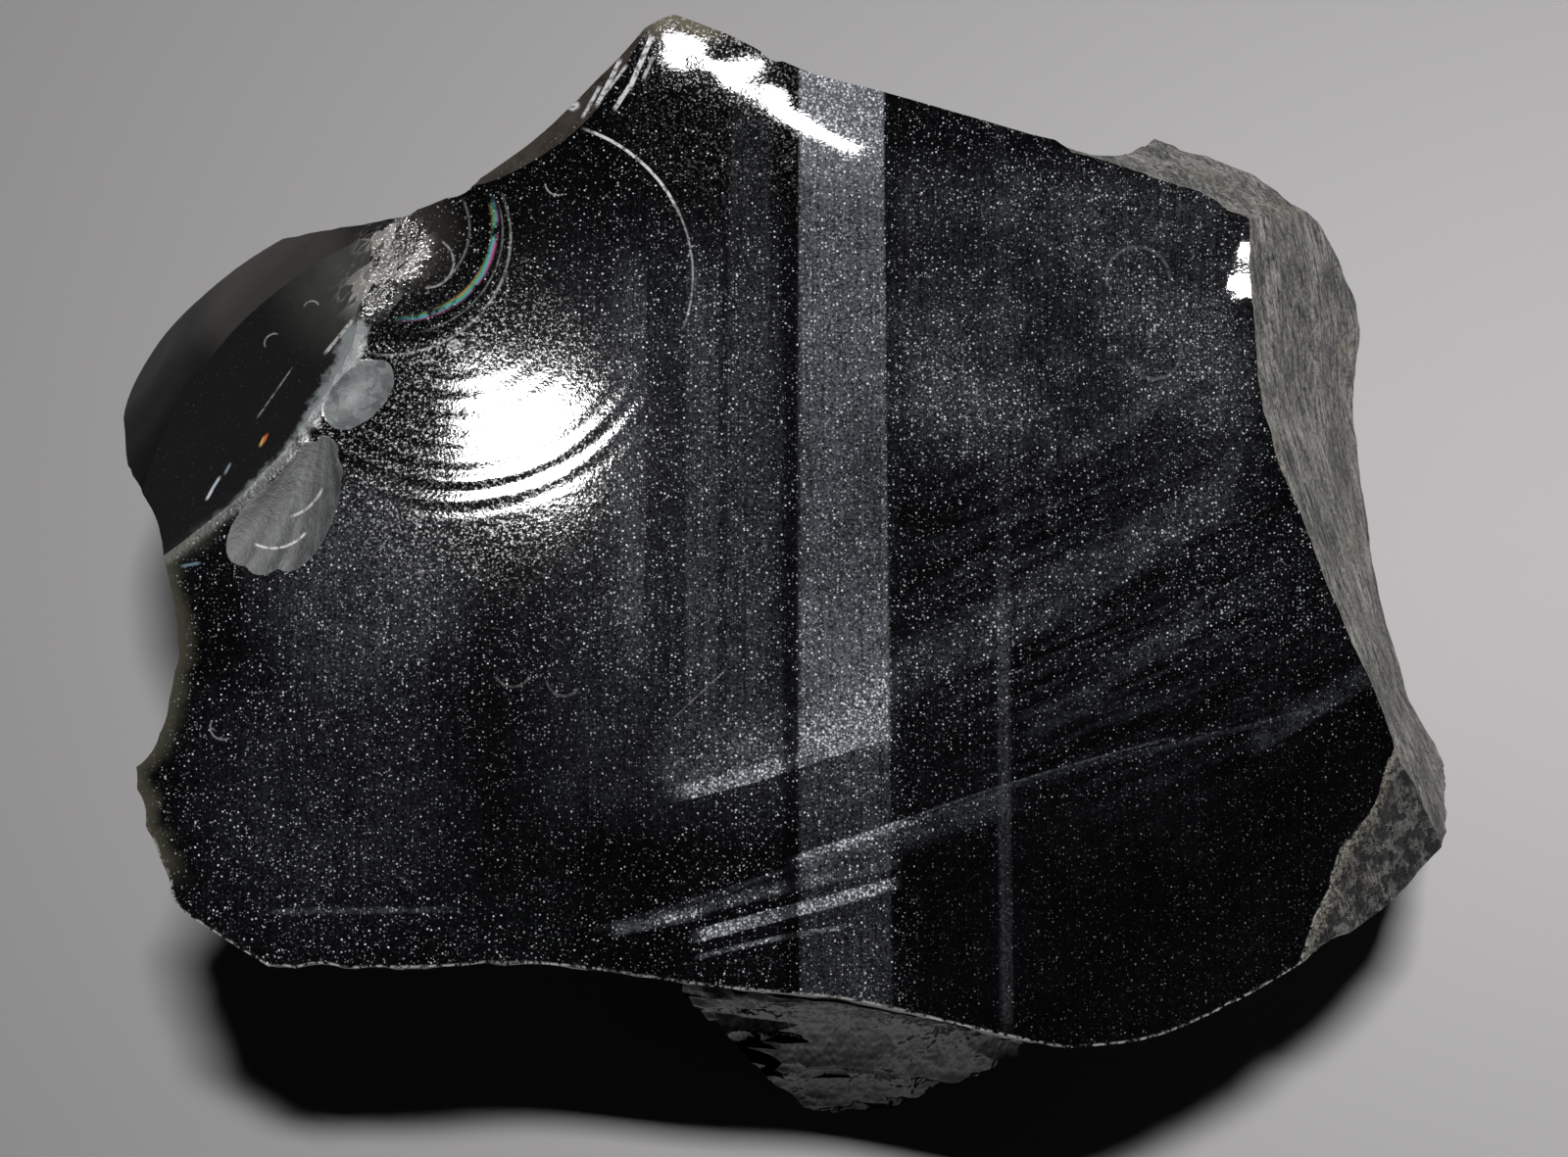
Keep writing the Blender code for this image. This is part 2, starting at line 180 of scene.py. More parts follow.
SCOOPS = (
    Scoop("back", 0.36, 29, 13, 17, 3.0, 20),
    Scoop("back", 0.62, 34, 11, 13, 3.2, -24),
    Scoop("front_right", 0.42, 27, 11, 14, 2.4, 20),
    Scoop("front", 0.72, 28, 9.5, 15, 2.6, -16),
    Scoop("left_front", 0.50, 30, 9, 14, 2.2, 14),
    Scoop("left", 0.48, 27, 9, 15, 2.4, -16),
    Scoop("shoulder", 0.42, 33, 12, 11, 3.0, 10),
    Scoop("back_left", 0.52, 33, 11, 12, 2.6, -12),
    Scoop("right", 0.34, 38, 13, 9, 2.4, 6),
)
GLASS_WALLS = ("back", "front_right", "front", "left_front", "left", "shoulder", "back_left")
SMALL_SCARS = 30
RIM_NICKS = {"front": 34, "front_right": 16, "left_front": 9, "left": 8, "back_left": 6,
             "back": 4}


@dataclass
class Chip:
    """A shallow oval bite in the top face."""
    kind: str
    centre: tuple
    half_long: float
    half_wide: float
    bite: float
    turn: float = 0.0       # degrees from +X to its long axis


CHIPS = (
    Chip("cone", (-29.7, 22.3), 8.8, 8.8, 0.42),
    Chip("oval", (-31.5, 10.6), 3.1, 1.8, 0.45, 48),
    Chip("fan", (-35.2, 2.6), 5.3, 2.3, 0.30, 74),
    Chip("fan", (-36.3, 2.0), 5.2, 2.2, 0.30, 61),
    Chip("fan", (-37.3, 1.6), 4.4, 2.2, 0.26, 47),
)

KEEL_TIP = ((3, -39.5, 4), (7, -39.2, 5), (0.6, -38.8, 6.5), (11.3, -37.5, 9.5))
KEEL_EDGES = ((-2, -37.4, 12.5), (-5.6, -34.3, 25), (-8.6, -31.4, 37), (16.4, -35.7, 24))
KEEL_TOP = ((-8.4, -30.6, 39.2), (8, -32.4, 37.8), (16.0, -34.6, 36.2))
KEEL_ROOT = ((-15, -19, -2), (-13, -21, 33), (23, -20, -2), (20, -25, 32), (-1, -33, -2),
             (9, -32, -2))
KEEL_FACING, KEEL_SLOPE = -93.0, 77.0
KEEL_SCARS = (              # middle, half width, half height and bite of each scar on it
    ((1.0, -34.2, 27), 8.0, 8.5, 0.6),
    ((3.5, -37.5, 13), 5.0, 6.0, 0.5),
    ((11.0, -35.4, 24), 5.0, 8.0, 0.4),
)
KEEL_FLAKES = 16            # small ledges on its face
KEEL_GRAIN = np.array(((0.47, 0, 0.88), (0, 1, 0), (-0.88, 0, 0.47)))   # turns folds downhill

KEEL_EDGE = 0.9             # longest edge on its face
SCAR_SEED = 11
SHARP_ANGLE = 24            # degrees between faces that meet in a sharp edge
CHUNK_GROUP = "fine_rock"


# ---- shape of the fractures ----------------------------------------------------------

def smooth_line(knots, values, at):
    """A smooth curve through (knot, value) pairs that doesn't swing past them."""
    knots, values = np.asarray(knots, float), np.asarray(values, float)
    rise = np.diff(values) / np.diff(knots)
    slope = np.concatenate((rise[:1], 0.5 * (rise[1:] + rise[:-1]), rise[-1:]))
    turning = np.concatenate(([False], rise[1:] * rise[:-1] <= 0, [False]))
    slope[turning] = 0.0
    at = np.clip(at, knots[0], knots[-1])
    piece = np.clip(np.searchsorted(knots, at) - 1, 0, len(knots) - 2)
    width = knots[piece + 1] - knots[piece]
    f = (at - knots[piece]) / width
    return ((2 * f**3 - 3 * f**2 + 1) * values[piece] + (3 * f**2 - 2 * f**3) * values[piece + 1]
            + (f**3 - 2 * f**2 + f) * width * slope[piece]
            + (f**3 - f**2) * width * slope[piece + 1])


def ease(start, end, value):
    """0 before start, 1 past end, and a soft step between."""
    t = np.clip((value - start) / (end - start), 0, 1)
    return t * t * (3 - 2 * t)


def rock_noise(points, size, octaves=2, stretch=(1, 1, 1), seed=0.0):
    """Fractal noise at each point, for features of a size in millimetres."""
    flat = points.reshape(-1, 3) / (np.array(stretch, float) * size) + seed
    values = [noise.fractal(point, 0.9, 2.0, octaves) for point in flat.tolist()]
    return np.array(values).reshape(points.shape[:-1])


def top_plane(x, y):
    """Height of the flat plane that the top face follows."""
    return (TOP_HEIGHT - math.tan(math.radians(TOP_FALL_X)) * x
            + math.tan(math.radians(TOP_RISE_Y)) * y)


def crown(x, y):
    """The broad crown round the bulb. It falls away on all sides, less and less sharply."""
    dx, dy = x - CROWN[0], y - CROWN[1]
    limit = math.radians(CROWN_LIMIT)
    fall = limit**2 * CROWN_RADIUS * np.log(np.cosh(np.hypot(dx, dy) / CROWN_RADIUS / limit))
    tilt = math.radians(CROWN_TILT[0]) * dx + math.radians(CROWN_TILT[1]) * dy
    return CROWN_RISE - tilt - fall


def ripples(x, y):
    """The fine rings that spread from the blow."""
    distance = np.hypot(x - RIPPLE_CENTRE[0], y - RIPPLE_CENTRE[1])
    heading = np.degrees(np.arctan2(y - RIPPLE_CENTRE[1], x - RIPPLE_CENTRE[0]))
    heading = np.where(heading > 90, heading - 360, heading)
    left = ease(-72, -105, heading) * (1 - ease(-215, -255, heading))
    outer = ease(13, 15, distance) * (1 - ease(-50, -10, heading))
    shown = ease(RIPPLE_NEAR, 7.5, distance) * (1 - ease(15, RIPPLE_FAR, distance))
    height = 0.003 + 0.016 * left + 0.012 * outer
    return height * shown * np.cos(2 * np.pi * distance / RIPPLE_LENGTH)


def back_lip(x, y):
    """The top face curls up, in small lumps, along the back rim."""
    inside = (x + 8.6) * 0.324 + (y - 39.7) * 0.946
    along = ease(-16, -9, x) * (1 - 0.7 * ease(4, 12, x))
    curl = 0.020 * np.clip(inside + 7.0, 0, 10) ** 2
    lumps = (0.016 * np.cos(2 * np.pi * (0.8 * x + 0.5 * y) / 3.6)
             + 0.012 * np.cos(2 * np.pi * (0.3 * x - 0.9 * y) / 2.7 + 1))
    climb = 0.5 * ease(-8, 9, x) * ease(-6, -1, inside)
    swell = 0.5 * ease(-3, 7, x) * (1 - ease(9, 20, x)) * ease(24, 30, y)
    return along * (curl + lumps * ease(-5, -2, inside)) + climb + swell


def right_lip(x, y):
    """A short lip at the right rim, nearly flat."""
    rise = 0.217 * (x - 31.6) - 0.075 * (y - 22.0)
    rounded = 0.5 * (rise + np.sqrt(rise**2 + 0.05**2))
    return np.clip(rounded, 0, 1.2) * ease(17.5, 20, y) * (1 - ease(25.5, 28, y))


def top_height(x, y):
    """Height of the top face with all its relief."""
    return top_plane(x, y) + crown(x, y) + ripples(x, y) + back_lip(x, y) + right_lip(x, y)


def glass_relief(points, run, depth, blow):
    """Conchoidal waves that spread down a wall from a blow on its rim, over a slow swell."""
    swell = rock_noise(points, 13, 2)
    distance = np.hypot(run - blow, depth + 4) + 1.6 * swell
    waves = 0.055 * np.cos(2 * np.pi * distance / 3.3) + 0.03 * np.cos(2 * np.pi * distance / 1.7)
    return (0.35 * swell + waves) * ease(0, 4, depth)


def cortex_relief(points):
    """The weathered skin: lumps, and streaks that run along Y."""
    lumps = rock_noise(points, 6.5, 3, stretch=(1, 2.2, 1))
    streaks = rock_noise(points, 1.9, 3, stretch=(0.8, 4.0, 0.8), seed=7.3)
    pits = rock_noise(points, 1.3, 2, seed=3.1)
    return 0.50 * lumps + 0.20 * streaks - 0.12 * np.abs(pits)


def wall_directions(wall):
    """The way the rim runs, the way the wall faces, and the rim in those two directions."""
    travel = (Vector(wall.rim[-1]) - Vector(wall.rim[0])).normalized()
    outward = Vector((-travel.y, travel.x))
    knots = [Vector(point).dot(travel) for point in wall.rim]
    values = [Vector(point).dot(outward) for point in wall.rim]
    return travel, outward, knots, values


def wall_points(wall, along, depth, relief=False):
    """Points of a wall: along its rim from 0 to 1, and depth below the top face."""
    travel, outward, knots, values = wall_directions(wall)
    run = knots[0] + along * (knots[-1] - knots[0])
    rim = smooth_line(knots, values, run)
    x, y = travel.x * run + outward.x * rim, travel.y * run + outward.y * rim
    z = top_plane(x, y) - depth
    lean = np.radians(np.interp(along, np.linspace(0, 1, len(wall.lean)), wall.lean))
    over_waist = np.minimum(depth, wall.waist)
    below_waist = np.maximum(depth - wall.waist, 0)
    flare = np.tan(lean) * over_waist + math.tan(math.radians(wall.tuck)) * below_waist
    open_middle = np.clip(4 * along * (1 - along), 0, 1) * np.clip(depth / 22, 0, 1)
    flare = flare - wall.hollow * open_middle * np.cos((depth - 22) / 40)
    flare = flare + wall.ledge * ease(-0.6, 1.0, depth) * (1 - ease(1.3, 2.6, depth))
    points = np.stack((x + outward.x * flare, y + outward.y * flare, z), axis=-1)
    if relief:
        blow = knots[0] + 0.45 * (knots[-1] - knots[0])
        out = (cortex_relief(points) if wall.kind == "cortex"
               else glass_relief(points, run, depth, blow))
        points = points + out[..., None] * np.array(outward.to_3d())
    return points


# ---- cutters -------------------------------------------------------------------------

def grid_values(start, end, step):
    """Evenly spaced values from start to end, about a step apart."""
    return np.linspace(start, end, max(2, round(abs(end - start) / step) + 1))


def joined_values(*stretches):
    """Stretches of evenly spaced values, each as (start, end, step), end to start."""
    rows = [grid_values(*stretch)[:-1] for stretch in stretches]
    return np.concatenate(rows + [[stretches[-1][1]]])


def cut_beyond(name, points, outward, kind, reach=CUT_REACH, group="scar_cutters"):
    """A closed cutter: the sheet of points, and all the space from there to its reach."""
    rows, columns = points.shape[:2]
    outward = Vector(outward).normalized()
    bm = bmesh.new()
    bmesh.ops.create_grid(bm, x_segments=columns - 1, y_segments=rows - 1, size=1)
    for vertex, point in zip(bm.verts, (points.reshape(-1, 3) * MM).tolist()):
        vertex.co = point
    border = [edge for edge in bm.edges if edge.is_boundary]
    skirt = bmesh.ops.extrude_edge_only(bm, edges=border)["geom"]
    for vertex in (item for item in skirt if isinstance(item, bmesh.types.BMVert)):
        vertex.co += outward * (reach * MM - vertex.co.dot(outward))
    bmesh.ops.holes_fill(bm, edges=[edge for edge in bm.edges if edge.is_boundary], sides=0)
    bmesh.ops.recalc_face_normals(bm, faces=bm.faces)
    if bm.calc_volume(signed=True) < 0:
        bmesh.ops.reverse_faces(bm, faces=bm.faces)
    for face in bm.faces:
        face.material_index = KINDS.index(kind)
    return rock_object(name, bm, group)


def wall_cutter(wall):
    """The cutter that leaves a side wall."""
    _, outward, knots, _ = wall_directions(wall)
    along, depth = np.meshgrid(grid_values(0, 1, WALL_STEP / (knots[-1] - knots[0])),
                               grid_values(-WALL_RISE, WALL_DEPTH, WALL_STEP))
    points = wall_points(wall, along, depth, relief=True)
    return cut_beyond("cut_" + wall.name, points, outward.to_3d(), wall.kind,
                      group="wall_cutters")


def sheet_frame(facing, slope):
    """Across, downhill and outward directions of a sloping sheet."""
    heading, tilt = math.radians(facing), math.radians(slope)
    across = Vector((-math.sin(heading), math.cos(heading), 0))
    outward = Vector((math.cos(heading) * math.sin(tilt), math.sin(heading) * math.sin(tilt),
                      math.cos(tilt)))
    return across, outward.cross(across), outward


def on_sheet(centre, frame, u, v, w):
    """Points at u across, v up and w out from a centre."""
    across, upward, outward = (np.array(direction) for direction in frame)
    return (np.array(centre) + u[..., None] * across + v[..., None] * upward
            + w[..., None] * outward)


def facet_cutter(facet):
    """The cutter that leaves a nearly flat facet."""
    frame = sheet_frame(facet.facing, facet.slope)
    values = grid_values(-FACET_HALF, FACET_HALF, SCAR_STEP)
    u, v = np.meshgrid(values, values)
    w = -facet.hollow + facet.hollow * (u**2 + v**2) / 10**2
    points = on_sheet(facet.centre, frame, u, v, w)
    if facet.kind == "cortex":
        w = w + 0.8 * cortex_relief(points)
    else:
        w = w + 0.06 * rock_noise(points, 5, 2)
    points = on_sheet(facet.centre, frame, u, v, w)
    reach = Vector(facet.centre).dot(frame[2]) + 24
    return cut_beyond("cut_" + facet.kind, points, frame[2], facet.kind, reach)


def bowl_cutter(name, centre, frame, half_width, half_height, bite, kind, wave=0.03):
    """The cutter that leaves a bowl with an oval rim and faint waves."""
    step = min(SCAR_STEP, half_height / 6)
    u, v = np.meshgrid(
        grid_values(-BOWL_SPREAD * half_width, BOWL_SPREAD * half_width, step),
        grid_values(-BOWL_SPREAD * half_height, BOWL_SPREAD * half_height, step))
    w = bite * ((u / half_width) ** 2 + (v / half_height) ** 2 - 1)
    points = on_sheet(centre, frame, u, v, w)
    if kind == "cortex":
        w = w + 0.7 * cortex_relief(points)
    else:
        distance = np.hypot(u, v - half_height) + 0.6 * rock_noise(points, 6, 1)
        w = w + wave * np.cos(2 * np.pi * distance / 2.1)
    points = on_sheet(centre, frame, u, v, w)
    reach = Vector(centre).dot(frame[2]) + 4 * bite + 2
    return cut_beyond(name, points, frame[2], kind, reach)


def scoop_cutter(scoop, name, wave=0.05):
    """The cutter of a flake scar, set square to the wall at its middle."""
    wall = next(wall for wall in WALLS if wall.name == scoop.wall)
    middle, beside, below = (Vector(wall_points(wall, np.array(scoop.along + du),
                                                np.array(scoop.depth + dv)))
                             for du, dv in ((0, 0), (0.02, 0), (0, 1)))
    across = (beside - middle).normalized()
    outward = across.cross(below - middle).normalized()
    upward = outward.cross(across)
    turn = math.radians(scoop.turn)
    turned = across * math.cos(turn) + upward * math.sin(turn)
    frame = (turned, outward.cross(turned), outward)
    return bowl_cutter(name, middle, frame, scoop.half_width, scoop.half_height, scoop.bite,
                       wall.kind, wave)


def small_scars(rng):
    """Lesser flake scars, scattered over the glassy walls."""
    for number in range(SMALL_SCARS):
        half = rng.uniform(3.0, 7.5)
        half_height = half * rng.uniform(0.7, 1.4)
        scar = Scoop(GLASS_WALLS[number % len(GLASS_WALLS)], rng.uniform(0.22, 0.78),
                     1.3 * max(half, half_height) + rng.uniform(2, 24), half, half_height,
                     half * rng.uniform(0.07, 0.12), rng.uniform(-50, 50))
        scoop_cutter(scar, f"scar_{number}", wave=0.025)


def rim_nicks(rng):
    """Tiny flakes lost from the rim."""
    for name, count in RIM_NICKS.items():
        for number in range(count):
            half = rng.uniform(0.5, 1.9)
            nick = Scoop(name, rng.uniform(0.14, 0.86), rng.uniform(0.1, 0.9), half,
                         rng.uniform(0.5, 1.3), rng.uniform(0.12, 0.34), rng.uniform(-20, 20))
            scoop_cutter(nick, f"nick_{name}_{number}", wave=0.0)


def chip_cutter(chip):
    """The cutter of a chip, set on the slope of the top face."""
    x, y = chip.centre
    slope_x, slope_y = ((top_height(x + dx, y + dy) - top_height(x - dx, y - dy)) / 6
                        for dx, dy in ((3, 0), (0, 3)))
    outward = Vector((-slope_x, -slope_y, 1)).normalized()
    across = Vector((0, 1, 0)).cross(outward).normalized()
    across.rotate(Quaternion(outward, math.radians(chip.turn)))
    frame = (across, outward.cross(across), outward)
    centre = (x, y, top_height(x, y))
    return bowl_cutter("chip_" + chip.kind, centre, frame, chip.half_long, chip.half_wide,
                       chip.bite, chip.kind, wave=0.0)


def top_cutter():
    """The cutter that leaves the top face."""
    half = BLOCK_RADIUS + 4
    x, y = np.meshgrid(
        joined_values((-half, -52, 2), (-52, -45, TOP_STEP), (-45, -6, RIPPLE_STEP),
                      (-6, 52, TOP_STEP), (52, half, 2)),
        joined_values((-half, -40, 2), (-40, 0, TOP_STEP), (0, 41, RIPPLE_STEP), (41, half, 2)))
    return cut_beyond("cut_top", np.stack((x, y, top_height(x, y)), axis=-1), (0, 0, 1), "top")


# ---- the rock ------------------------------------------------------------------------

def collection(name):
    """The named collection, made on first use."""
    found = bpy.data.collections.get(name)
    if found is None:
        found = bpy.data.collections.new(name)
        bpy.context.scene.collection.children.link(found)
    return found


def rock_object(name, bm, group):
    """Turn a bmesh into an object with an empty material slot for each kind of face."""
    mesh = bpy.data.meshes.new(name)
    bm.to_mesh(mesh)
    bm.free()
    for _ in KINDS:
        mesh.materials.append(None)
    made = bpy.data.objects.new(name, mesh)
    collection(group).objects.link(made)
    return made


def boolean(target, group, operation):
    """Cut or join a whole collection."""
    modifier = target.modifiers.new(group, 'BOOLEAN')
    modifier.operation = operation
    modifier.solver = 'MANIFOLD'
    modifier.operand_type = 'COLLECTION'
    modifier.collection = collection(group)


def raw_block():
    """The drum of rock that the chunk is struck from."""
    bm = bmesh.new()
    bmesh.ops.create_cone(bm, cap_ends=True, segments=24, radius1=BLOCK_RADIUS * MM,
                          radius2=BLOCK_RADIUS * MM, depth=BLOCK_HEIGHT * MM)
    bmesh.ops.translate(bm, verts=bm.verts, vec=(0, 0, (BLOCK_FOOT + BLOCK_HEIGHT / 2) * MM))
    for face in bm.faces:
        face.material_index = KINDS.index("wall")
    return rock_object("raw_block", bm, CHUNK_GROUP)


def keel():
    """The rock that stands out of the front wall: the hull of its corners, made uneven."""
    bm = bmesh.new()
    for corner in KEEL_TIP + KEEL_EDGES + KEEL_TOP + KEEL_ROOT:
        bm.verts.new(Vector(corner) * MM)
    bmesh.ops.convex_hull(bm, input=bm.verts)
    bmesh.ops.triangulate(bm, faces=bm.faces)
    for _ in range(8):
        long_edges = [edge for edge in bm.edges if edge.calc_length() > KEEL_EDGE * MM]
        if not long_edges:
            break
        bmesh.ops.subdivide_edges(bm, edges=long_edges, cuts=1)
        bmesh.ops.triangulate(bm, faces=bm.faces)
    bmesh.ops.recalc_face_normals(bm, faces=bm.faces)
    bm.normal_update()
    points = np.array([vertex.co for vertex in bm.verts]) / MM
    ledges = (0.30 * rock_noise(points, 5, 3) + 0.12 * rock_noise(points, 1.6, 2, seed=2.0)
              - 0.8 * np.abs(rock_noise(points @ KEEL_GRAIN, 3.2, 2, stretch=(4, 1, 1), seed=5.0)))
    for vertex, out in zip(bm.verts, ledges.tolist()):
        vertex.co += vertex.normal * (out * MM)
    for face in bm.faces:
        face.material_index = KINDS.index("keel")
    surface = BVHTree.FromBMesh(bm)
    rock_object("keel", bm, "joined_rock")
    return surface


def keel_flakes(surface, rng):
    """Small ledges broken in the keel's face."""
    for number in range(KEEL_FLAKES):
        start = Vector((rng.uniform(-7, 16), -60, rng.uniform(4, 35))) * MM
        spot, normal, _, _ = surface.ray_cast(start, Vector((0, 1, 0)))
        if spot is None:
            continue
        outward = (normal + Vector([rng.uniform(-0.35, 0.35) for _ in range(3)])).normalized()
        across = Vector((rng.uniform(-0.5, 0.5), 0, 1)).cross(outward).normalized()
        half = rng.uniform(1.4, 4.2)
        bowl_cutter(f"keel_flake_{number}", spot / MM, (across, outward.cross(across), outward),
                    half, half * rng.uniform(0.6, 1.3), half * rng.uniform(0.10, 0.22), "keel",
                    wave=0.0)


def strike_chunk():
    """Strike the chunk out of its block and return it as one fine mesh."""
    rng = random.Random(SCAR_SEED)
    block = raw_block()
    for wall in WALLS:
        wall_cutter(wall)
    keel_surface = keel()
    for number, scoop in enumerate(SCOOPS):
        scoop_cutter(scoop, f"scoop_{number}")
    small_scars(rng)
    rim_nicks(rng)
    keel_frame = sheet_frame(KEEL_FACING, KEEL_SLOPE)
    for number, (centre, half_width, half_height, bite) in enumerate(KEEL_SCARS):
        bowl_cutter(f"keel_{number}", centre, keel_frame, half_width, half_height, bite, "keel",
                    wave=0.01)
    keel_flakes(keel_surface, rng)
    for facet in FACETS:
        facet_cutter(facet)
    for chip in CHIPS:
        chip_cutter(chip)
    top_cutter()
    floor_x, floor_y = np.meshgrid((-62.0, 62.0), (-62.0, 62.0))
    cut_beyond("cut_floor", np.stack((floor_x, floor_y, 0 * floor_x), axis=-1), (0, 0, -1), "base")
    boolean(block, "wall_cutters", 'DIFFERENCE')
    boolean(block, "joined_rock", 'UNION')
    boolean(block, "scar_cutters", 'DIFFERENCE')
    struck = block.evaluated_get(bpy.context.evaluated_depsgraph_get())
    mesh = bpy.data.meshes.new_from_object(struck)
    for group in (CHUNK_GROUP, "wall_cutters", "joined_rock", "scar_cutters"):
        for item in list(collection(group).objects):
            bpy.data.objects.remove(item, do_unlink=True)
        bpy.data.collections.remove(collection(group))
    return mesh


def largest_body(mesh):
    """Drop any loose crumb that a cut left beside the chunk."""
    bm = bmesh.new()
    bm.from_mesh(mesh)
    bodies = []
    unseen = set(bm.verts)
    while unseen:
        stack = [unseen.pop()]
        body = set(stack)
        while stack:
            for edge in stack.pop().link_edges:
                for vertex in edge.verts:
                    if vertex in unseen:
                        unseen.remove(vertex)
                        body.add(vertex)
                        stack.append(vertex)
        bodies.append(body)
    keep = max(bodies, key=len)
    crumbs = [vertex for body in bodies if body is not keep for vertex in body]
    bmesh.ops.delete(bm, geom=crumbs, context='VERTS')
    bm.to_mesh(mesh)
    bm.free()
    return len(bodies)


def face_kinds(mesh):
    """The kind of each face, as its place in KINDS."""
    kinds = np.empty(len(mesh.polygons), dtype=np.int32)
    mesh.polygons.foreach_get("material_index", kinds)
    return kinds


def vertex_distance(mesh, kinds, kind, other_kinds):
    """Distance in millimetres of each vertex from the line where two kinds of face meet."""
    wanted = KINDS.index(kind)
    others = {KINDS.index(name) for name in other_kinds}
    touching = [set() for _ in range(len(mesh.vertices))]
    for polygon, face_kind in zip(mesh.polygons, kinds):
        for vertex in polygon.vertices:
            touching[vertex].add(int(face_kind))
    line = [index for index, found in enumerate(touching) if wanted in found and found & others]
    tree = kdtree.KDTree(len(line))
    for place, index in enumerate(line):
        tree.insert(mesh.vertices[index].co, place)
    tree.balance()
    return [tree.find(vertex.co)[2] / MM for vertex in mesh.vertices]


def store(mesh, name, values, domain='POINT'):
    """Keep one number a vertex or a face, for the materials."""
    layer = mesh.attributes.new(name, 'FLOAT', domain)
    layer.data.foreach_set("value", np.asarray(values, dtype=np.float32))


# ---- nodes of the materials ----------------------------------------------------------

CURVE_REACH = 100.0         # how far from zero a curve can run, in millimetres


def of_two(operation, swapped=False):
    """A method that passes a value and another one through a Math node."""
    def method(self, other):
        pair = (other, self) if swapped else (self, other)
        return self.graph.math(operation, *pair)
    return method


class Value:
    """The output of a node. It takes part in sums like a number."""

    def __init__(self, graph, socket):
        self.graph = graph
        self.socket = socket

    __add__, __radd__ = of_two('ADD'), of_two('ADD', swapped=True)
    __sub__, __rsub__ = of_two('SUBTRACT'), of_two('SUBTRACT', swapped=True)
    __mul__, __rmul__ = of_two('MULTIPLY'), of_two('MULTIPLY', swapped=True)
    __truediv__ = of_two('DIVIDE')
    at_least = of_two('MAXIMUM')
    at_most = of_two('MINIMUM')

    def __abs__(self):
        return self.graph.math('ABSOLUTE', self)

    def step(self, start, end, low=0.0, high=1.0):
        """A soft step, from low before start to high past end."""
        return self.graph.value("Result", 'ShaderNodeMapRange', {
            "Value": self, "From Min": start, "From Max": end, "To Min": low, "To Max": high},
            interpolation_type='SMOOTHSTEP')

    def window(self, start, end, soft_start=0.3, soft_end=0.3):
        """1 between start and end, fading to 0 outside."""
        return self.step(start - soft_start, start) * self.step(end, end + soft_end, 1.0, 0.0)


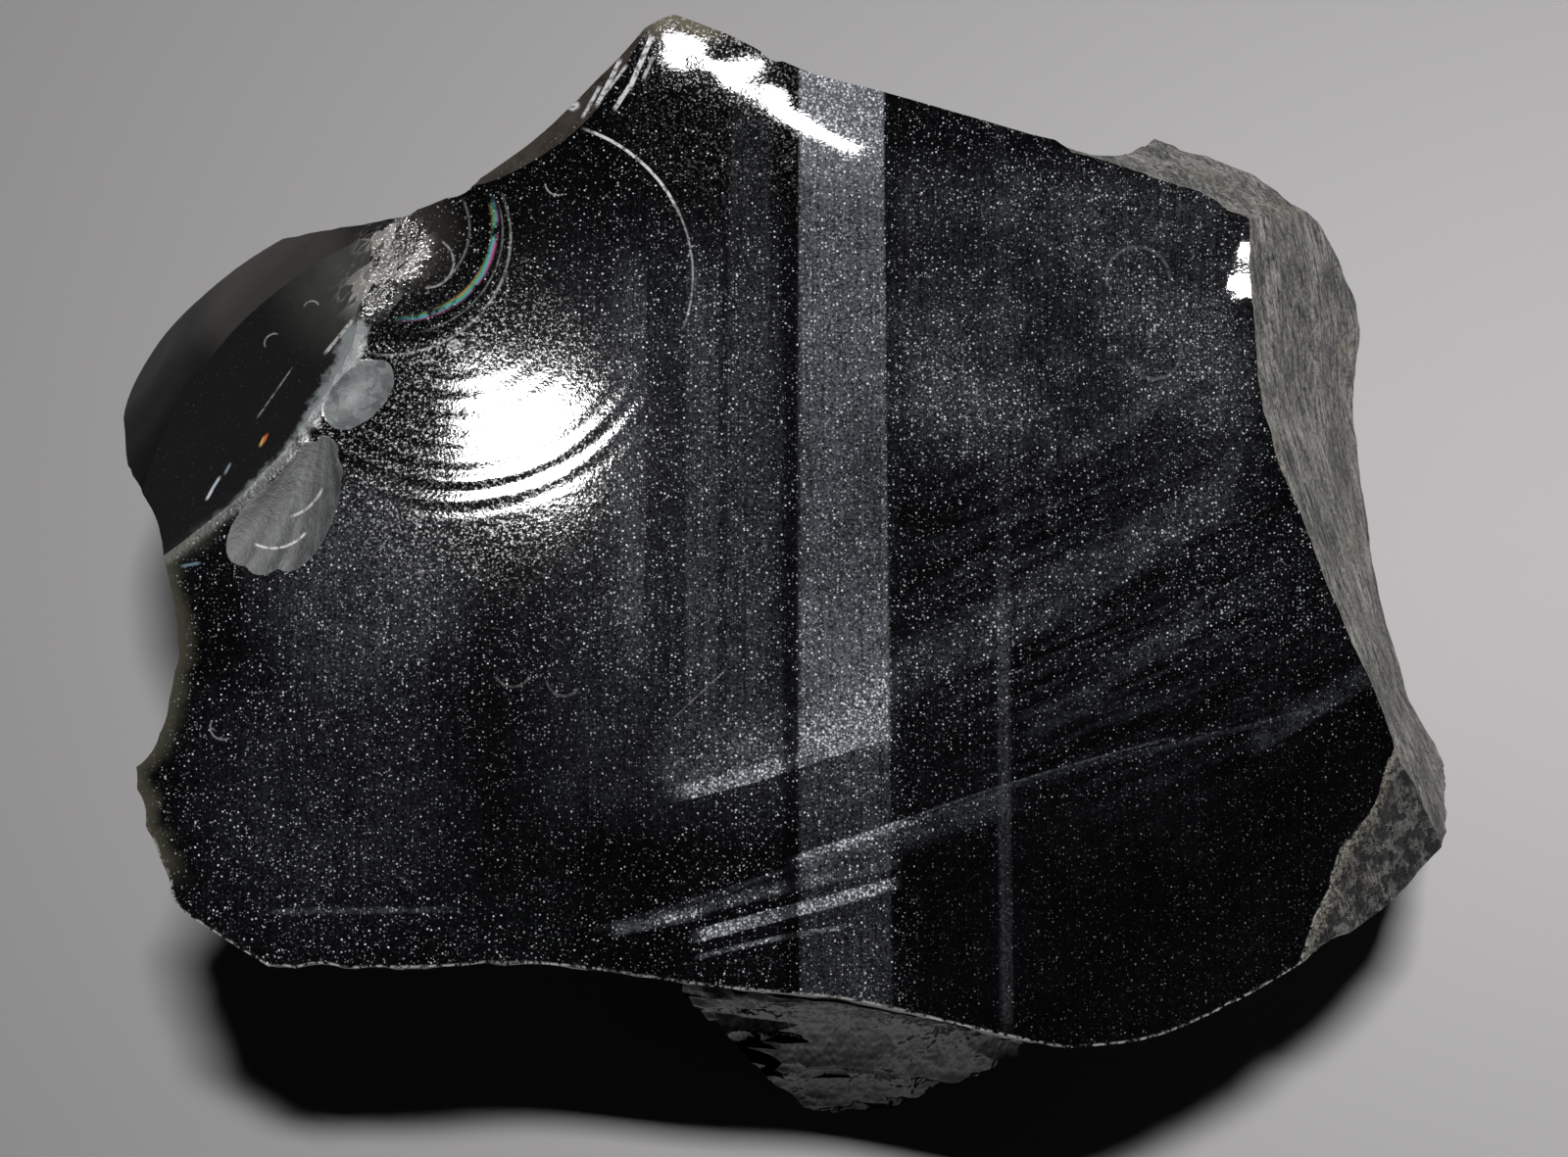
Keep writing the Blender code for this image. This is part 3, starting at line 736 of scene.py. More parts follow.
class Graph:
    """A material's node tree, with a short call for each kind of node it needs."""

    def __init__(self, name):
        self.material = bpy.data.materials.new(name)
        self.material.use_nodes = True
        self.tree = self.material.node_tree
        self.shader = self.tree.nodes["Principled BSDF"]
        self.attributes = {}
        metres = self.value("Object", 'ShaderNodeTexCoord')
        self.place = self.vector('MULTIPLY', metres, (1 / MM, 1 / MM, 1 / MM))
        split = self.node('ShaderNodeSeparateXYZ', {"Vector": self.place})
        self.x, self.y = (Value(self, socket) for socket in split.outputs[:2])

    def node(self, kind, inputs=None, **settings):
        made = self.tree.nodes.new(kind)
        for name, value in settings.items():
            setattr(made, name, value)
        for name, value in (inputs or {}).items():
            self.feed(made.inputs[name], value)
        return made

    def feed(self, socket, value):
        if isinstance(value, Value):
            self.tree.links.new(value.socket, socket)
        else:
            socket.default_value = value

    def value(self, output, kind, inputs=None, **settings):
        """One output of a new node."""
        return Value(self, self.node(kind, inputs, **settings).outputs[output])

    def shade(self, **inputs):
        """Feed the shader. An underscore stands for a space in the name of its socket."""
        for name, value in inputs.items():
            self.feed(self.shader.inputs[name.replace("_", " ")], value)

    def bump(self, relief, strength, distance):
        """Raise the surface by a relief, of which 1 is a distance in millimetres."""
        self.shade(Normal=self.value("Normal", 'ShaderNodeBump', {
            "Height": relief, "Strength": strength, "Distance": distance * MM}))

    def math(self, operation, first, second=0.0):
        return self.value(0, 'ShaderNodeMath', {0: first, 1: second}, operation=operation)

    def vector(self, operation, first, second):
        return self.value(0, 'ShaderNodeVectorMath', {0: first, 1: second}, operation=operation)

    def attribute(self, name):
        if name not in self.attributes:
            self.attributes[name] = self.value("Fac", 'ShaderNodeAttribute', attribute_name=name)
        return self.attributes[name]

    def upward(self):
        """How far the surface faces up, from -1 to 1."""
        facing = self.value("Normal", 'ShaderNodeTexCoord')
        return self.value("Z", 'ShaderNodeSeparateXYZ', {"Vector": facing})

    def curve(self, value, points):
        """A smooth curve through points of (value, result), all within CURVE_REACH of zero."""
        span = 2 * CURVE_REACH
        made = self.node('ShaderNodeFloatCurve', {"Value": value * (1 / span) + 0.5})
        spline = made.mapping.curves[0].points
        scaled = [((a + CURVE_REACH) / span, (b + CURVE_REACH) / span) for a, b in points]
        spline[0].location, spline[1].location = scaled[0], scaled[-1]
        for spot in scaled[1:-1]:
            spline.new(*spot)
        made.mapping.update()
        return (Value(self, made.outputs[0]) - 0.5) * span

    def stretched(self, scales, turn=0.0):
        """The place, turned about Z in degrees and then scaled along each axis."""
        if not turn:
            return self.value(0, 'ShaderNodeMapping', {"Vector": self.place, "Scale": scales})
        return self.value(0, 'ShaderNodeMapping', {
            "Vector": self.place, "Rotation": (0, 0, math.radians(turn)),
            "Scale": [1 / value for value in scales]}, vector_type='TEXTURE')

    def noise(self, scale, detail=3.0, roughness=0.55, vector=None):
        return self.value("Fac", 'ShaderNodeTexNoise', {
            "Vector": vector or self.place, "Scale": scale, "Detail": detail,
            "Roughness": roughness})

    def streaky_noise(self, scales, detail, roughness, turn=0.0):
        """Noise with a scale of its own along each axis."""
        return self.noise(1.0, detail, roughness, self.stretched(scales, turn))

    def wavering(self, vector, scale):
        """A vector, shifted a little by colourful noise."""
        drift = self.value("Color", 'ShaderNodeTexNoise', {"Vector": vector, "Scale": scale})
        return self.vector('ADD', vector, drift)

    def cells(self, vector, scale):
        """Random cells: the distance from the middle of each, and a random number for each."""
        made = self.node('ShaderNodeTexVoronoi', {"Vector": vector, "Scale": scale})
        colour = Value(self, made.outputs["Color"])
        luck = self.value(0, 'ShaderNodeSeparateColor', {"Color": colour})
        return Value(self, made.outputs["Distance"]), luck

    def mix(self, factor, first, second):
        made = self.node('ShaderNodeMix', {0: factor}, data_type='RGBA')
        for place, colour in ((6, first), (7, second)):
            self.feed(made.inputs[place], colour if isinstance(colour, Value) else (*colour, 1))
        return Value(self, made.outputs[2])

    def ramp(self, value, stops):
        """A colour ramp of (place, colour) stops."""
        made = self.node('ShaderNodeValToRGB', {"Fac": value})
        elements = made.color_ramp.elements
        while len(elements) < len(stops):
            elements.new(0.5)
        for element, (place, colour) in zip(elements, stops):
            element.position = place
            element.color = (*colour, 1)
        return Value(self, made.outputs["Color"])

    def from_point(self, x, y):
        """Offsets in plan from a point, and the distance from it."""
        off_x, off_y = self.x - x, self.y - y
        return off_x, off_y, self.math('SQRT', off_x * off_x + off_y * off_y)

    def spot(self, x, y, radius, soft):
        """1 within a radius of a point in plan."""
        return self.from_point(x, y)[2].step(radius, radius + soft, 1.0, 0.0)

    def arc(self, centre, radius, start, end, half_width, soft=0.1, fade=8):
        """A thin arc in plan, between two headings in degrees."""
        off_x, off_y, distance = self.from_point(*centre)
        middle, half = math.radians((start + end) / 2), math.radians((end - start) / 2)
        ahead = off_x * math.cos(middle) + off_y * math.sin(middle)
        beside = off_y * math.cos(middle) + off_x * -math.sin(middle)
        heading = abs(self.math('ARCTAN2', beside, ahead))
        off = abs(distance - radius)
        return (off.step(half_width, half_width + soft, 1.0, 0.0)
                * heading.step(half - math.radians(fade), half, 1.0, 0.0))

    def mark(self, start, end, half_width, soft=0.1, fade=0.6):
        """A thin straight mark in plan from start to end, tapering out."""
        along = Vector(end) - Vector(start)
        length = along.length
        along.normalize()
        off_x, off_y, _ = self.from_point(*start)
        run = off_x * along.x + off_y * along.y
        off = abs(off_x * -along.y + off_y * along.x)
        return (off.step(half_width, half_width + soft, 1.0, 0.0)
                * run.window(fade, length - fade, fade, fade))

    def kind(self, *names):
        """1 on the faces of the named kinds."""
        face_kind = self.attribute("face_kind")
        masks = [self.value(0, 'ShaderNodeMath', {0: face_kind, 1: float(KINDS.index(name)),
                                                  2: 0.4}, operation='COMPARE')
                 for name in names]
        return sum(masks[1:], masks[0])


# ---- regions and tables of the top face ----------------------------------------------

@dataclass
class Region:
    """A part of the top in plan. Its material has only the marks that reach into it."""
    name: str
    low: tuple
    high: tuple

    def holds(self, points, margin):
        """True if the box round some points, with a margin, reaches into the region."""
        return all(min(point[axis] for point in points) - margin < self.high[axis]
                   and max(point[axis] for point in points) + margin > self.low[axis]
                   for axis in (0, 1))


REGION_SPLIT = (-15.0, -9.0)
LEFT_BACK = Region("left_back", (-60, REGION_SPLIT[1]), (REGION_SPLIT[0], 60))
REGIONS = (
    LEFT_BACK,
    Region("left_front", (-60, -60), REGION_SPLIT),
    Region("right_back", REGION_SPLIT, (60, 60)),
    Region("right_front", (REGION_SPLIT[0], -60), (60, REGION_SPLIT[1])),
)

APEX = (-8.5, 40.0)
BLOW = (-28.9, 23.1)        # point of the small blow, inside its cracked cone
FAN_POINT = (-33.8, 9.0)    # where the rays of the frosted fan start

BANDS = (                   # each band's start, end and softness in X, then in Y, and strength
    ((-12.0, -11.2, 2.4, 0.1), (-3, 17, 8, 6), 0.20),
    ((-8.1, -6.2, 0.3, 0.5), (-9, 18, 6, 6), 0.14),
    ((-5.0, -2.6, 0.4, 0.8), (-12, 30, 6, 6), 0.09),
    ((14.35, 14.95, 0.3, 0.3), (-33, -6, 1, 6), 0.14),
)
STREAK_ENDS = 1.6           # how softly a streak starts and stops
STREAKS = (                 # line, start, end, softness of each side, strength of each painted sheen streak
    (((-7.8, -17.9), (-4.0, -16.9), (-0.1, -15.6), (5.4, -13.7)), 0.0, 0.5, 0.10, 1.0, 1.0),
    (((-9.0, -17.6), (-4.0, -16.6), (-0.1, -15.2), (5.4, -13.3)), 0.0, 0.8, 0.4, 6.0, 0.42),
    (((0.3, -21.6), (6.7, -19.4), (14.3, -16.7), (26.0, -13.2)), -0.10, 0.0, 0.10, 0.08, 0.55),
    (((0.3, -21.7), (6.4, -19.6)), -0.25, 0.0, 0.35, 0.10, 0.75),
    (((0.3, -21.9), (6.7, -19.7), (14.3, -17.1)), -0.6, 0.0, 2.0, 0.12, 0.30),
    (((-14, -26.9), (0.5, -22.2), (11.8, -17.8), (20.8, -14.9), (27.3, -13.3), (37.9, -10.5)),
     -0.12, 0.0, 0.4, 0.1, 0.22),
    (((-6.4, -27.4), (-1.2, -26.0), (3.0, -24.9), (5.8, -24.1)), -0.35, 0.45, 0.10, 0.20, 1.3),
    (((-9.4, -26.4), (-1.2, -24.3), (3.0, -23.3), (5.8, -22.7)), -0.15, 0.2, 0.25, 0.8, 0.45),
    (((-6.2, -28.8), (-2.0, -27.8), (2.3, -27.0)), -0.1, 0.1, 0.15, 0.2, 0.7),
    (((-12.3, -27.0), (-7.8, -26.1)), -0.3, 0.2, 0.3, 0.3, 0.7),
    (((5.9, -9.5), (10.1, -7.2), (17.3, -3.6), (22.3, -0.6), (31.1, 5.1)),
     -0.9, 0.9, 1.8, 2.2, 0.24),
    (((17.2, -12.3), (28.1, -4.8)), -0.5, 0.5, 0.8, 1.2, 0.12),
    (((33.8, -13.3), (41.6, -8.6)), -0.2, 0.6, 0.5, 1.6, 0.24),
    (((20.3, 8.0), (27.6, 12.5)), -0.3, 0.6, 0.6, 1.2, 0.14),
    (((-36.5, -26.1), (-25.3, -25.9)), -0.08, 0.08, 0.2, 0.3, 0.35),
)
SPECKS = (                  # size, shift, reach and strength of each set of grains of dust and painted glints
    (0.27, 0.0, 0.30, 1.0), (0.17, 5.0, 0.30, 0.8), (1.1, 9.0, 0.085, 1.0),
)
GLEAMS = (                  # start, end and colour of each small painted coloured glint on the shoulder
    ((-38.6, 6.8), (-38.2, 7.8), (0.50, 0.40, 0.10)),
    ((-38.4, 7.0), (-38.0, 8.0), (0.50, 0.11, 0.04)),
    ((-42.1, 3.4), (-41.3, 4.9), (0.40, 0.45, 0.50)),
    ((-42.3, 2.9), (-41.8, 3.9), (0.55, 0.57, 0.60)),
    ((-41.1, 4.8), (-40.6, 5.9), (0.18, 0.22, 0.28)),
    ((-43.9, -1.9), (-42.3, -1.6), (0.12, 0.17, 0.21)),
)
RINGS = (                   # centre, radius, headings, half width, softness, fade and strength of each pale ring, a painted highlight on the rim of the cone or a crack
    ((-29.74, 22.31), 8.81, -98, 26, 0.04, 0.10, 14, 1.0),
    ((-29.2, 22.7), 7.7, -80, 20, 0.02, 0.09, 14, 0.5),
    ((-29.0, 23.0), 5.1, -60, 30, 0.02, 0.12, 14, 0.45),
)
MARKS = (                   # start, end, half width and strength of each fine bright line: painted highlights on fine ridges, and lint
    ((-16.0, 31.6), (-14.6, 34.5), 0.10, 0.9), ((-15.0, 32.4), (-13.1, 36.6), 0.14, 1.0),
    ((-14.6, 33.2), (-12.6, 36.0), 0.08, 0.8), ((-13.7, 32.2), (-12.1, 34.9), 0.12, 0.9),
    ((-12.6, 33.8), (-10.8, 38.3), 0.14, 1.0), ((-11.6, 34.6), (-10.7, 36.7), 0.08, 0.7),
    ((-9.2, -12.4), (-5.2, -8.6), 0.01, 0.20), ((-39.0, 9.0), (-36.4, 13.0), 0.02, 0.30),
    ((-34.2, 13.6), (-31.9, 16.4), 0.10, 0.6),
)
CURLS = (                   # centre, radius, headings, half width and strength of each curl; the first two are the painted highlight along the arc of the step
    ((-19.26, 19.9), 11.46, 22, 74, 0.07, 1.0), ((-19.26, 19.9), 11.46, -22, 30, 0.03, 0.45),
    ((-17.6, 26.6), 0.9, 180, 300, 0.02, 0.45), ((-35.3, 17.3), 0.6, 20, 160, 0.02, 0.35),
    ((-38.0, 14.9), 0.7, 60, 210, 0.02, 0.35), ((-37.4, 2.4), 2.9, -120, -35, 0.05, 0.8),
    ((-37.3, 5.2), 3.6, -75, -20, 0.05, 0.6), ((-26.9, 20.5), 1.9, -95, 60, 0.04, 0.4),
    ((-24.8, 14.2), 0.42, -180, 180, 0.05, 0.7), ((-40.6, -13.2), 0.9, 150, 300, 0.02, 0.30),
    ((-20.4, -8.9), 1.3, 200, 340, 0.05, 0.10), ((-16.8, -9.6), 1.2, 180, 330, 0.05, 0.10),
    ((25.0, 21.0), 2.4, 0, 200, 0.08, 0.10), ((26.0, 15.6), 2.1, 190, 380, 0.08, 0.10),
)
GRAINS = ((-24.8, 14.2, 0.1, 0.5), (-16.6, 32.9, 0.25, 0.9))     # place, radius and strength


# ---- colours -------------------------------------------------------------------------

BLACK = (0.0010, 0.0010, 0.0012)
# painted sheen: the silvery light that the layers of the flow give back, painted into the colour
PAINTED_SHEEN = (0.100, 0.108, 0.125)
# bright grains: dust, and painted glints that brighten with the painted sheen
DUST_AND_GLINT = (0.88, 0.91, 0.96)
SHOULDER = (0.0100, 0.0100, 0.0106)
# painted reflection on the upper part of the outer shoulder
SHOULDER_PAINTED_REFLECTION = (0.036, 0.034, 0.030)
DARK_FROST, FROST = (0.15, 0.175, 0.185), (0.30, 0.315, 0.32)
THIN_TIP = (0.19, 0.17, 0.13)       # thin glass lets brownish light through
THIN_LEFT = (0.053, 0.052, 0.038)
THIN_BEVEL = (0.063, 0.053, 0.044)
THIN_SHOULDER = (0.070, 0.071, 0.062)
# the pale of the front rim's edge: crushed glass, with painted highlights on its nicks
CRUSHED_AND_GLINT, LEDGE = (0.36, 0.36, 0.35), (0.14, 0.135, 0.125)
SPLINTER, CONE_GLOW = (0.36, 0.35, 0.33), (0.030, 0.027, 0.022)
# the ridge colour: painted highlight on fine ridges, and the colour of lint and old drop rings
# the ring colour: painted highlight on the rims of the cone and its cracks
RING, RIDGE_HIGHLIGHT_AND_LINT = (0.34, 0.34, 0.335), (0.62, 0.62, 0.64)
# painted iridescent reflection in the crack
RAINBOW = (
    (0.0, (0.10, 0.07, 0.02)), (0.25, (0.42, 0.26, 0.10)), (0.42, (0.10, 0.34, 0.14)),
    (0.60, (0.08, 0.38, 0.46)), (0.80, (0.48, 0.10, 0.26)), (1.0, (0.16, 0.04, 0.06)),
)
SKIN = (
    (0.0, (0.070, 0.070, 0.070)), (0.3, (0.185, 0.185, 0.180)),
    (0.65, (0.37, 0.365, 0.345)), (1.0, (0.62, 0.60, 0.55)),
)
SKIN_TAN, SKIN_HAIR, SKIN_EDGE = (0.40, 0.32, 0.20), (0.022, 0.022, 0.0225), (0.45, 0.42, 0.34)
SKIN_FLAT, SKIN_PIT = (0.037, 0.037, 0.038), (0.009, 0.009, 0.010)
# the floor's colour runs from FLOOR_DARK to FLOOR_PALE as painted light
FLOOR_DARK, FLOOR_PALE = (0.25, 0.245, 0.253), (0.606, 0.597, 0.603)

GLASS_IOR = 1.5             # index of refraction of obsidian
GLASS_LEVEL = 0.5           # strength of its reflections, where 0.5 is the true one
KEEL_LEVEL, SHOULDER_LEVEL = 0.06, 0.1      # the keel and the outer shoulder are duller
KEEL_FOLDS = 60.0           # height of the folds in the keel's relief


# ---- materials -----------------------------------------------------------------------

def flow_bands(graph):
    """The light and dark bands of the flow, which stand square to X. The light bands are partly the
    flow's own banding and partly painted sheen.
    """
    x, y = graph.x, graph.y
    slanted = x + y * 0.006
    broad = x.step(-0.25, 0.15) * slanted.step(6.1, 6.45, 1.0, 0.0)
    # level: how bright the painted sheen of the broad band is along Y; the step from 25 to 33 mm is
    # a painted highlight on the band's top, by the back rim
    level = (0.30 + y.step(6, 21) * 0.34 + y.step(25, 33) * 1.5
             + y.window(-13.5, -7, 1, 6) * 0.30 + y.step(-13, -15.5) * -0.14)
    right_edge = slanted.window(6.0, 6.25, 0.2, 0.1) * y.window(-16, 34, 1, 4) * 0.16
    bands = broad * level + right_edge
    for across, lengthwise, strength in BANDS:
        bands = bands + x.window(*across) * y.window(*lengthwise) * strength
    whole_length = x.window(*BANDS[-1][0])
    dark = x.window(-0.95, -0.3, 0.7, 0.1)
    return bands + whole_length * 0.05, dark * 0.72


def streaks_in(graph, region):
    """The painted sheen streaks that reach into a region. Each is as wide as its start and end, off
    its line.
    """
    found = 0.0
    for line, start, end, soft_start, soft_end, strength in STREAKS:
        if region.holds(line, max(3.0, soft_start - start, soft_end + end)):
            across = (graph.y - graph.curve(graph.x, line)).window(start, end, soft_start, soft_end)
            run = graph.x.window(line[0][0], line[-1][0], STREAK_ENDS, STREAK_ENDS)
            found = found + across * run * strength
    return found


def haze(graph):
    """Clouds of painted sheen, with bright grains in them. They gather on the right behind, and
    fail at the front corner, which is left in painted shade.
    """
    x, y = graph.x, graph.y
    cloud = graph.noise(0.075, 4.0, 0.55).step(0.34, 0.66)
    slanting = graph.streaky_noise((0.10, 1.6, 0.3), 4.0, 0.6, turn=24).step(0.40, 0.72)
    behind = x.window(10, 31, 6, 5) * y.window(13, 25, 9, 6)
    middle = x.window(-14, 4, 8, 4) * y.window(-16, 14, 6, 14)
    whole = (0.006 + behind * (0.09 + cloud * 0.22) + graph.spot(-31, -3, 3, 7) * 0.22
             + graph.spot(-33, -17, 4, 9) * 0.07 + middle * 0.10
             + graph.spot(22, -4, 6, 14) * slanting * 0.13 + cloud * 0.02)
    # quiet: the front corner and a spot where the painted sheen and the grains fade, as painted
    # shade
    line = y - (x * 0.30 - 22.5)
    corner, beside = line.step(1, -3) * x.step(6.5, 9), line.step(9, 3) * x.step(6.5, 12)
    quiet = corner.at_least(beside * 0.6).at_least(graph.spot(-18, -20, 4, 10) * 0.5)
    return whole, quiet, cloud


def dust_and_glint_specks(graph, glint_level, size, shift, reach):
    """Bright grains of many strengths in cells of a size in millimetres: dust, and painted glints
    that brighten with the painted sheen.
    """
    place = graph.vector('ADD', graph.place, (shift, 2.3 * shift, 0.7 * shift))
    distance, luck = graph.cells(place, 1 / size)
    dot = (distance / (reach + glint_level * (0.6 * reach))).step(0.3, 1.0, 1.0, 0.0)
    return dot * graph.math('POWER', luck, (8.0 - glint_level * 7.4).at_least(0.6))


def top_material(region, name, level=GLASS_LEVEL):
    """Black glass of the top, with its flow bands and painted sheen, painted sheen streaks, bright
    grains of dust and painted glints, chips and thin edges.
    """
    graph = Graph(name)
    on_top = graph.kind("top", "cone", "bevel")
    bands, dark = flow_bands(graph) if region.high[0] > REGION_SPLIT[0] else (0.0, 0.0)
    streaks = streaks_in(graph, region)
    clouds, quiet, cloud = haze(graph)
    light = 1.0 - dark
    upright = graph.streaky_noise((3.4, 0.07, 0.07), 3.0, 0.6).step(0.32, 0.70)
    grain = graph.noise(5.0, 2.0, 0.8).step(0.36, 0.66)
    patchy = graph.noise(0.6, 3.0, 0.6).step(0.30, 0.66)
    banding = 0.45 + upright * 0.6 + patchy * 0.4
    # painted sheen of the bands, the streaks and the clouds
    painted_sheen = bands * banding + streaks * (0.25 + patchy * 0.5) + clouds * banding
    painted_sheen = painted_sheen * light * on_top * (1.0 - quiet * 0.3) * (grain * 1.5 + 0.22)
    colour = graph.mix(painted_sheen.at_most(1.0), BLACK, PAINTED_SHEEN)
    if region is LEFT_BACK:
        colour = graph.mix(graph.kind("lobe_inner"), colour, SHOULDER)
        # painted reflection: a lighter patch at the top of the outer shoulder
        colour = graph.mix(graph.kind("lobe_outer") * graph.spot(-38, 19.5, 4.5, 3.5), colour,
                           SHOULDER_PAINTED_REFLECTION)

    # where the painted sheen is strong, the grains shine brighter as painted glints
    glint_level = 0.09 + streaks * 0.85 + clouds * 1.3 + cloud * 0.22 + bands * 0.50
    glint_level = (glint_level * light * (1.0 - quiet * 0.7)).at_most(1.0)
    dust_and_glints = 0.0
    for *shape, strength in SPECKS:
        dust_and_glints = (dust_and_glint_specks(graph, glint_level, *shape) * strength).at_least(dust_and_glints)
    dust_and_glints = dust_and_glints * (1.0 - quiet * 0.75) * (on_top * 0.90 + 0.03)
    around = graph.spot(-26, 9, 7, 9).at_least(graph.spot(-4, 34, 5, 8))
    dust = graph.noise(4.6, 2.0, 0.7).step(0.555, 0.62) * on_top * (0.12 + around * 0.88)
    colour = thin_edges(graph, graph.mix(dust_and_glints, colour, DUST_AND_GLINT))
    frost, crushed = 0.0, 0.0
    if region is LEFT_BACK:
        colour, frost, crushed = frosting(graph, colour)
        colour = iridescence(graph, colour)
    colour = crushed_glinting_edge(graph, marks(graph, colour, region))
    relief = (graph.noise(4.0, 1.0, 0.6) * on_top * 0.5 + graph.noise(1.1, 1.0, 0.6) * 0.5
              + graph.noise(2.6, 2.0, 0.7) * crushed)
    return finish_glass(graph, colour, 0.055 + frost * 0.40 + dust_and_glints * 0.20 + dust * 0.22,
                        level, relief)


def wall_material(name, level=GLASS_LEVEL, folded=0.0):
    """Black glass of the walls, with its grey ledges. On the keel it is folded and duller."""
    graph = Graph(name)
    colour = ledges(graph, graph.mix(thin_tip(graph), BLACK, THIN_TIP))
    relief = (graph.noise(1.1, 2.0, 0.6) * 0.5
              + graph.streaky_noise((0.9, 0.5, 0.16), 2.0, 0.5) * folded)
    return finish_glass(graph, crushed_glinting_edge(graph, colour), 0.11, level, relief)


def finish_glass(graph, colour, roughness, level, relief):
    """What all the glass shares. A relief of 1 is a hundredth of a millimetre high."""
    graph.shade(Base_Color=colour, Roughness=roughness, IOR=GLASS_IOR, Specular_IOR_Level=level)
    graph.bump(relief, 0.5, 0.02)
    return graph.material


def thin_tip(graph):
    """The thin glass of the apex, along its rim."""
    return graph.spot(*APEX, 2.0, 2.0) * graph.attribute("rim_distance").step(1.6, 0.4) * 0.75


def thin_edges(graph, colour):
    """Thin glass at the rim and over the shoulder lets some brown light through."""
    wisp = graph.noise(0.5, 2.0, 0.6)
    left = graph.y.window(-22, 2, 3, 3) * graph.x.step(-40, -43)
    near = (graph.attribute("rim_distance") / (0.3 + wisp * 1.8)).step(0.0, 1.3, 1.0, 0.0)
    colour = graph.mix(near * left * graph.kind("top") * 0.9, colour, THIN_LEFT)
    strip = graph.kind("bevel") * wisp.step(0.25, 0.75, 0.45, 1.0)
    colour = graph.mix(strip * 0.85, colour, THIN_BEVEL)
    colour = graph.mix(thin_tip(graph) * graph.kind("top", "bevel"), colour, THIN_TIP)
    shoulder = graph.spot(-31.5, 20.0, 1.0, 7.5) * graph.kind("lobe_inner") * (0.5 + wisp * 0.7)
    return graph.mix(shoulder * 0.8, colour, THIN_SHOULDER)


def crushed_glinting_edge(graph, colour):
    """The very edge of the front rim is crushed pale, with painted highlights on its nicks."""
    edge = (graph.attribute("rim_distance").step(0.22, 0.05) * graph.y.step(-18, -24)
            * graph.noise(2.2, 2.0, 0.7).step(0.40, 0.62))
    return graph.mix(edge * 0.9, colour, CRUSHED_AND_GLINT)


def ledges(graph, colour):
    """Narrow ledges under the rim are grey in streaks where they face up."""
    fibres = graph.streaky_noise((0.5, 3.0, 3.0), 4.0, 0.7)
    shown = (graph.upward().step(0.15, 0.5) * graph.attribute("rim_distance").step(4.0, 2.5)
             * fibres.step(0.38, 0.62))
    return graph.mix(shown * 0.8, colour, LEDGE)


def frosting(graph, colour):
    """Frosted chips, the crushed crest of the shoulder, and the shattered glass at the blow."""
    crest = graph.attribute("crest_distance")
    ragged = graph.noise(0.9, 4.0, 0.65)
    wide = crest + ragged * 1.9 - graph.y.step(6, 14) * 0.75
    line = (wide.step(0.70, 1.40, 1.0, 0.0) * graph.kind("top", "lobe_inner", "cone")
            * graph.y.step(-1, 6))
    _, tile = graph.cells(graph.wavering(graph.place, 0.8), 1.7)
    oval = graph.kind("oval") * (0.45 + tile * 0.5)
    off_x, off_y, _ = graph.from_point(*FAN_POINT)
    spread = graph.math('ARCTAN2', off_y, off_x) * 9.0
    rays = graph.noise(1.0, 2.0, 0.6, graph.value(0, 'ShaderNodeCombineXYZ', {0: spread}))
    fan = (graph.kind("fan") * ragged.step(0.3, 0.8, 0.6, 1.4)
           * rays.step(0.30, 0.70, 0.10, 0.38))
    frost = (line * 0.95 + oval + fan).at_most(1.0)
    tint = graph.mix(graph.noise(3.0, 3.0, 0.7), DARK_FROST, FROST)
    colour, zone = shattered(graph, graph.mix(frost * 0.85, colour, tint), ragged)
    chips = graph.kind("oval", "fan")
    crushed = chips * 3.0 + zone * 14.0 + crest.step(1.2, 0.3) * 2.0
    return colour, frost.at_least(chips).at_least(crest.step(1.2, 0.3, 0.0, 0.7)), crushed


def shattered(graph, colour, ragged):
    """Splinters at the point of the blow. They point away from it, and some catch the light."""
    zone = (graph.spot(-31.2, 18.6, 0.6, 2.6).at_least(graph.spot(-29.4, 21.6, 1.2, 2.4))
            * graph.kind("cone", "top", "lobe_inner", "lobe_outer"))
    bent = graph.wavering(graph.stretched((1.15, 0.42, 0.8), -38), 0.9)
    _, luck = graph.cells(bent, 1.5)
    edge = graph.value("Distance", 'ShaderNodeTexVoronoi', {"Vector": bent, "Scale": 1.5},
                       feature='DISTANCE_TO_EDGE').step(0.03, 0.09, 1.0, 0.0)
    pale = luck.step(0.45, 1.0) * 0.55 + edge * ragged.step(0.4, 0.6) * 0.55
    glow = graph.spot(-29.0, 22.6, 2.2, 3.4) * graph.kind("cone") * 0.75
    colour = graph.mix(glow, colour, CONE_GLOW)
    return graph.mix(zone * pale.at_most(1.0), colour, SPLINTER), zone


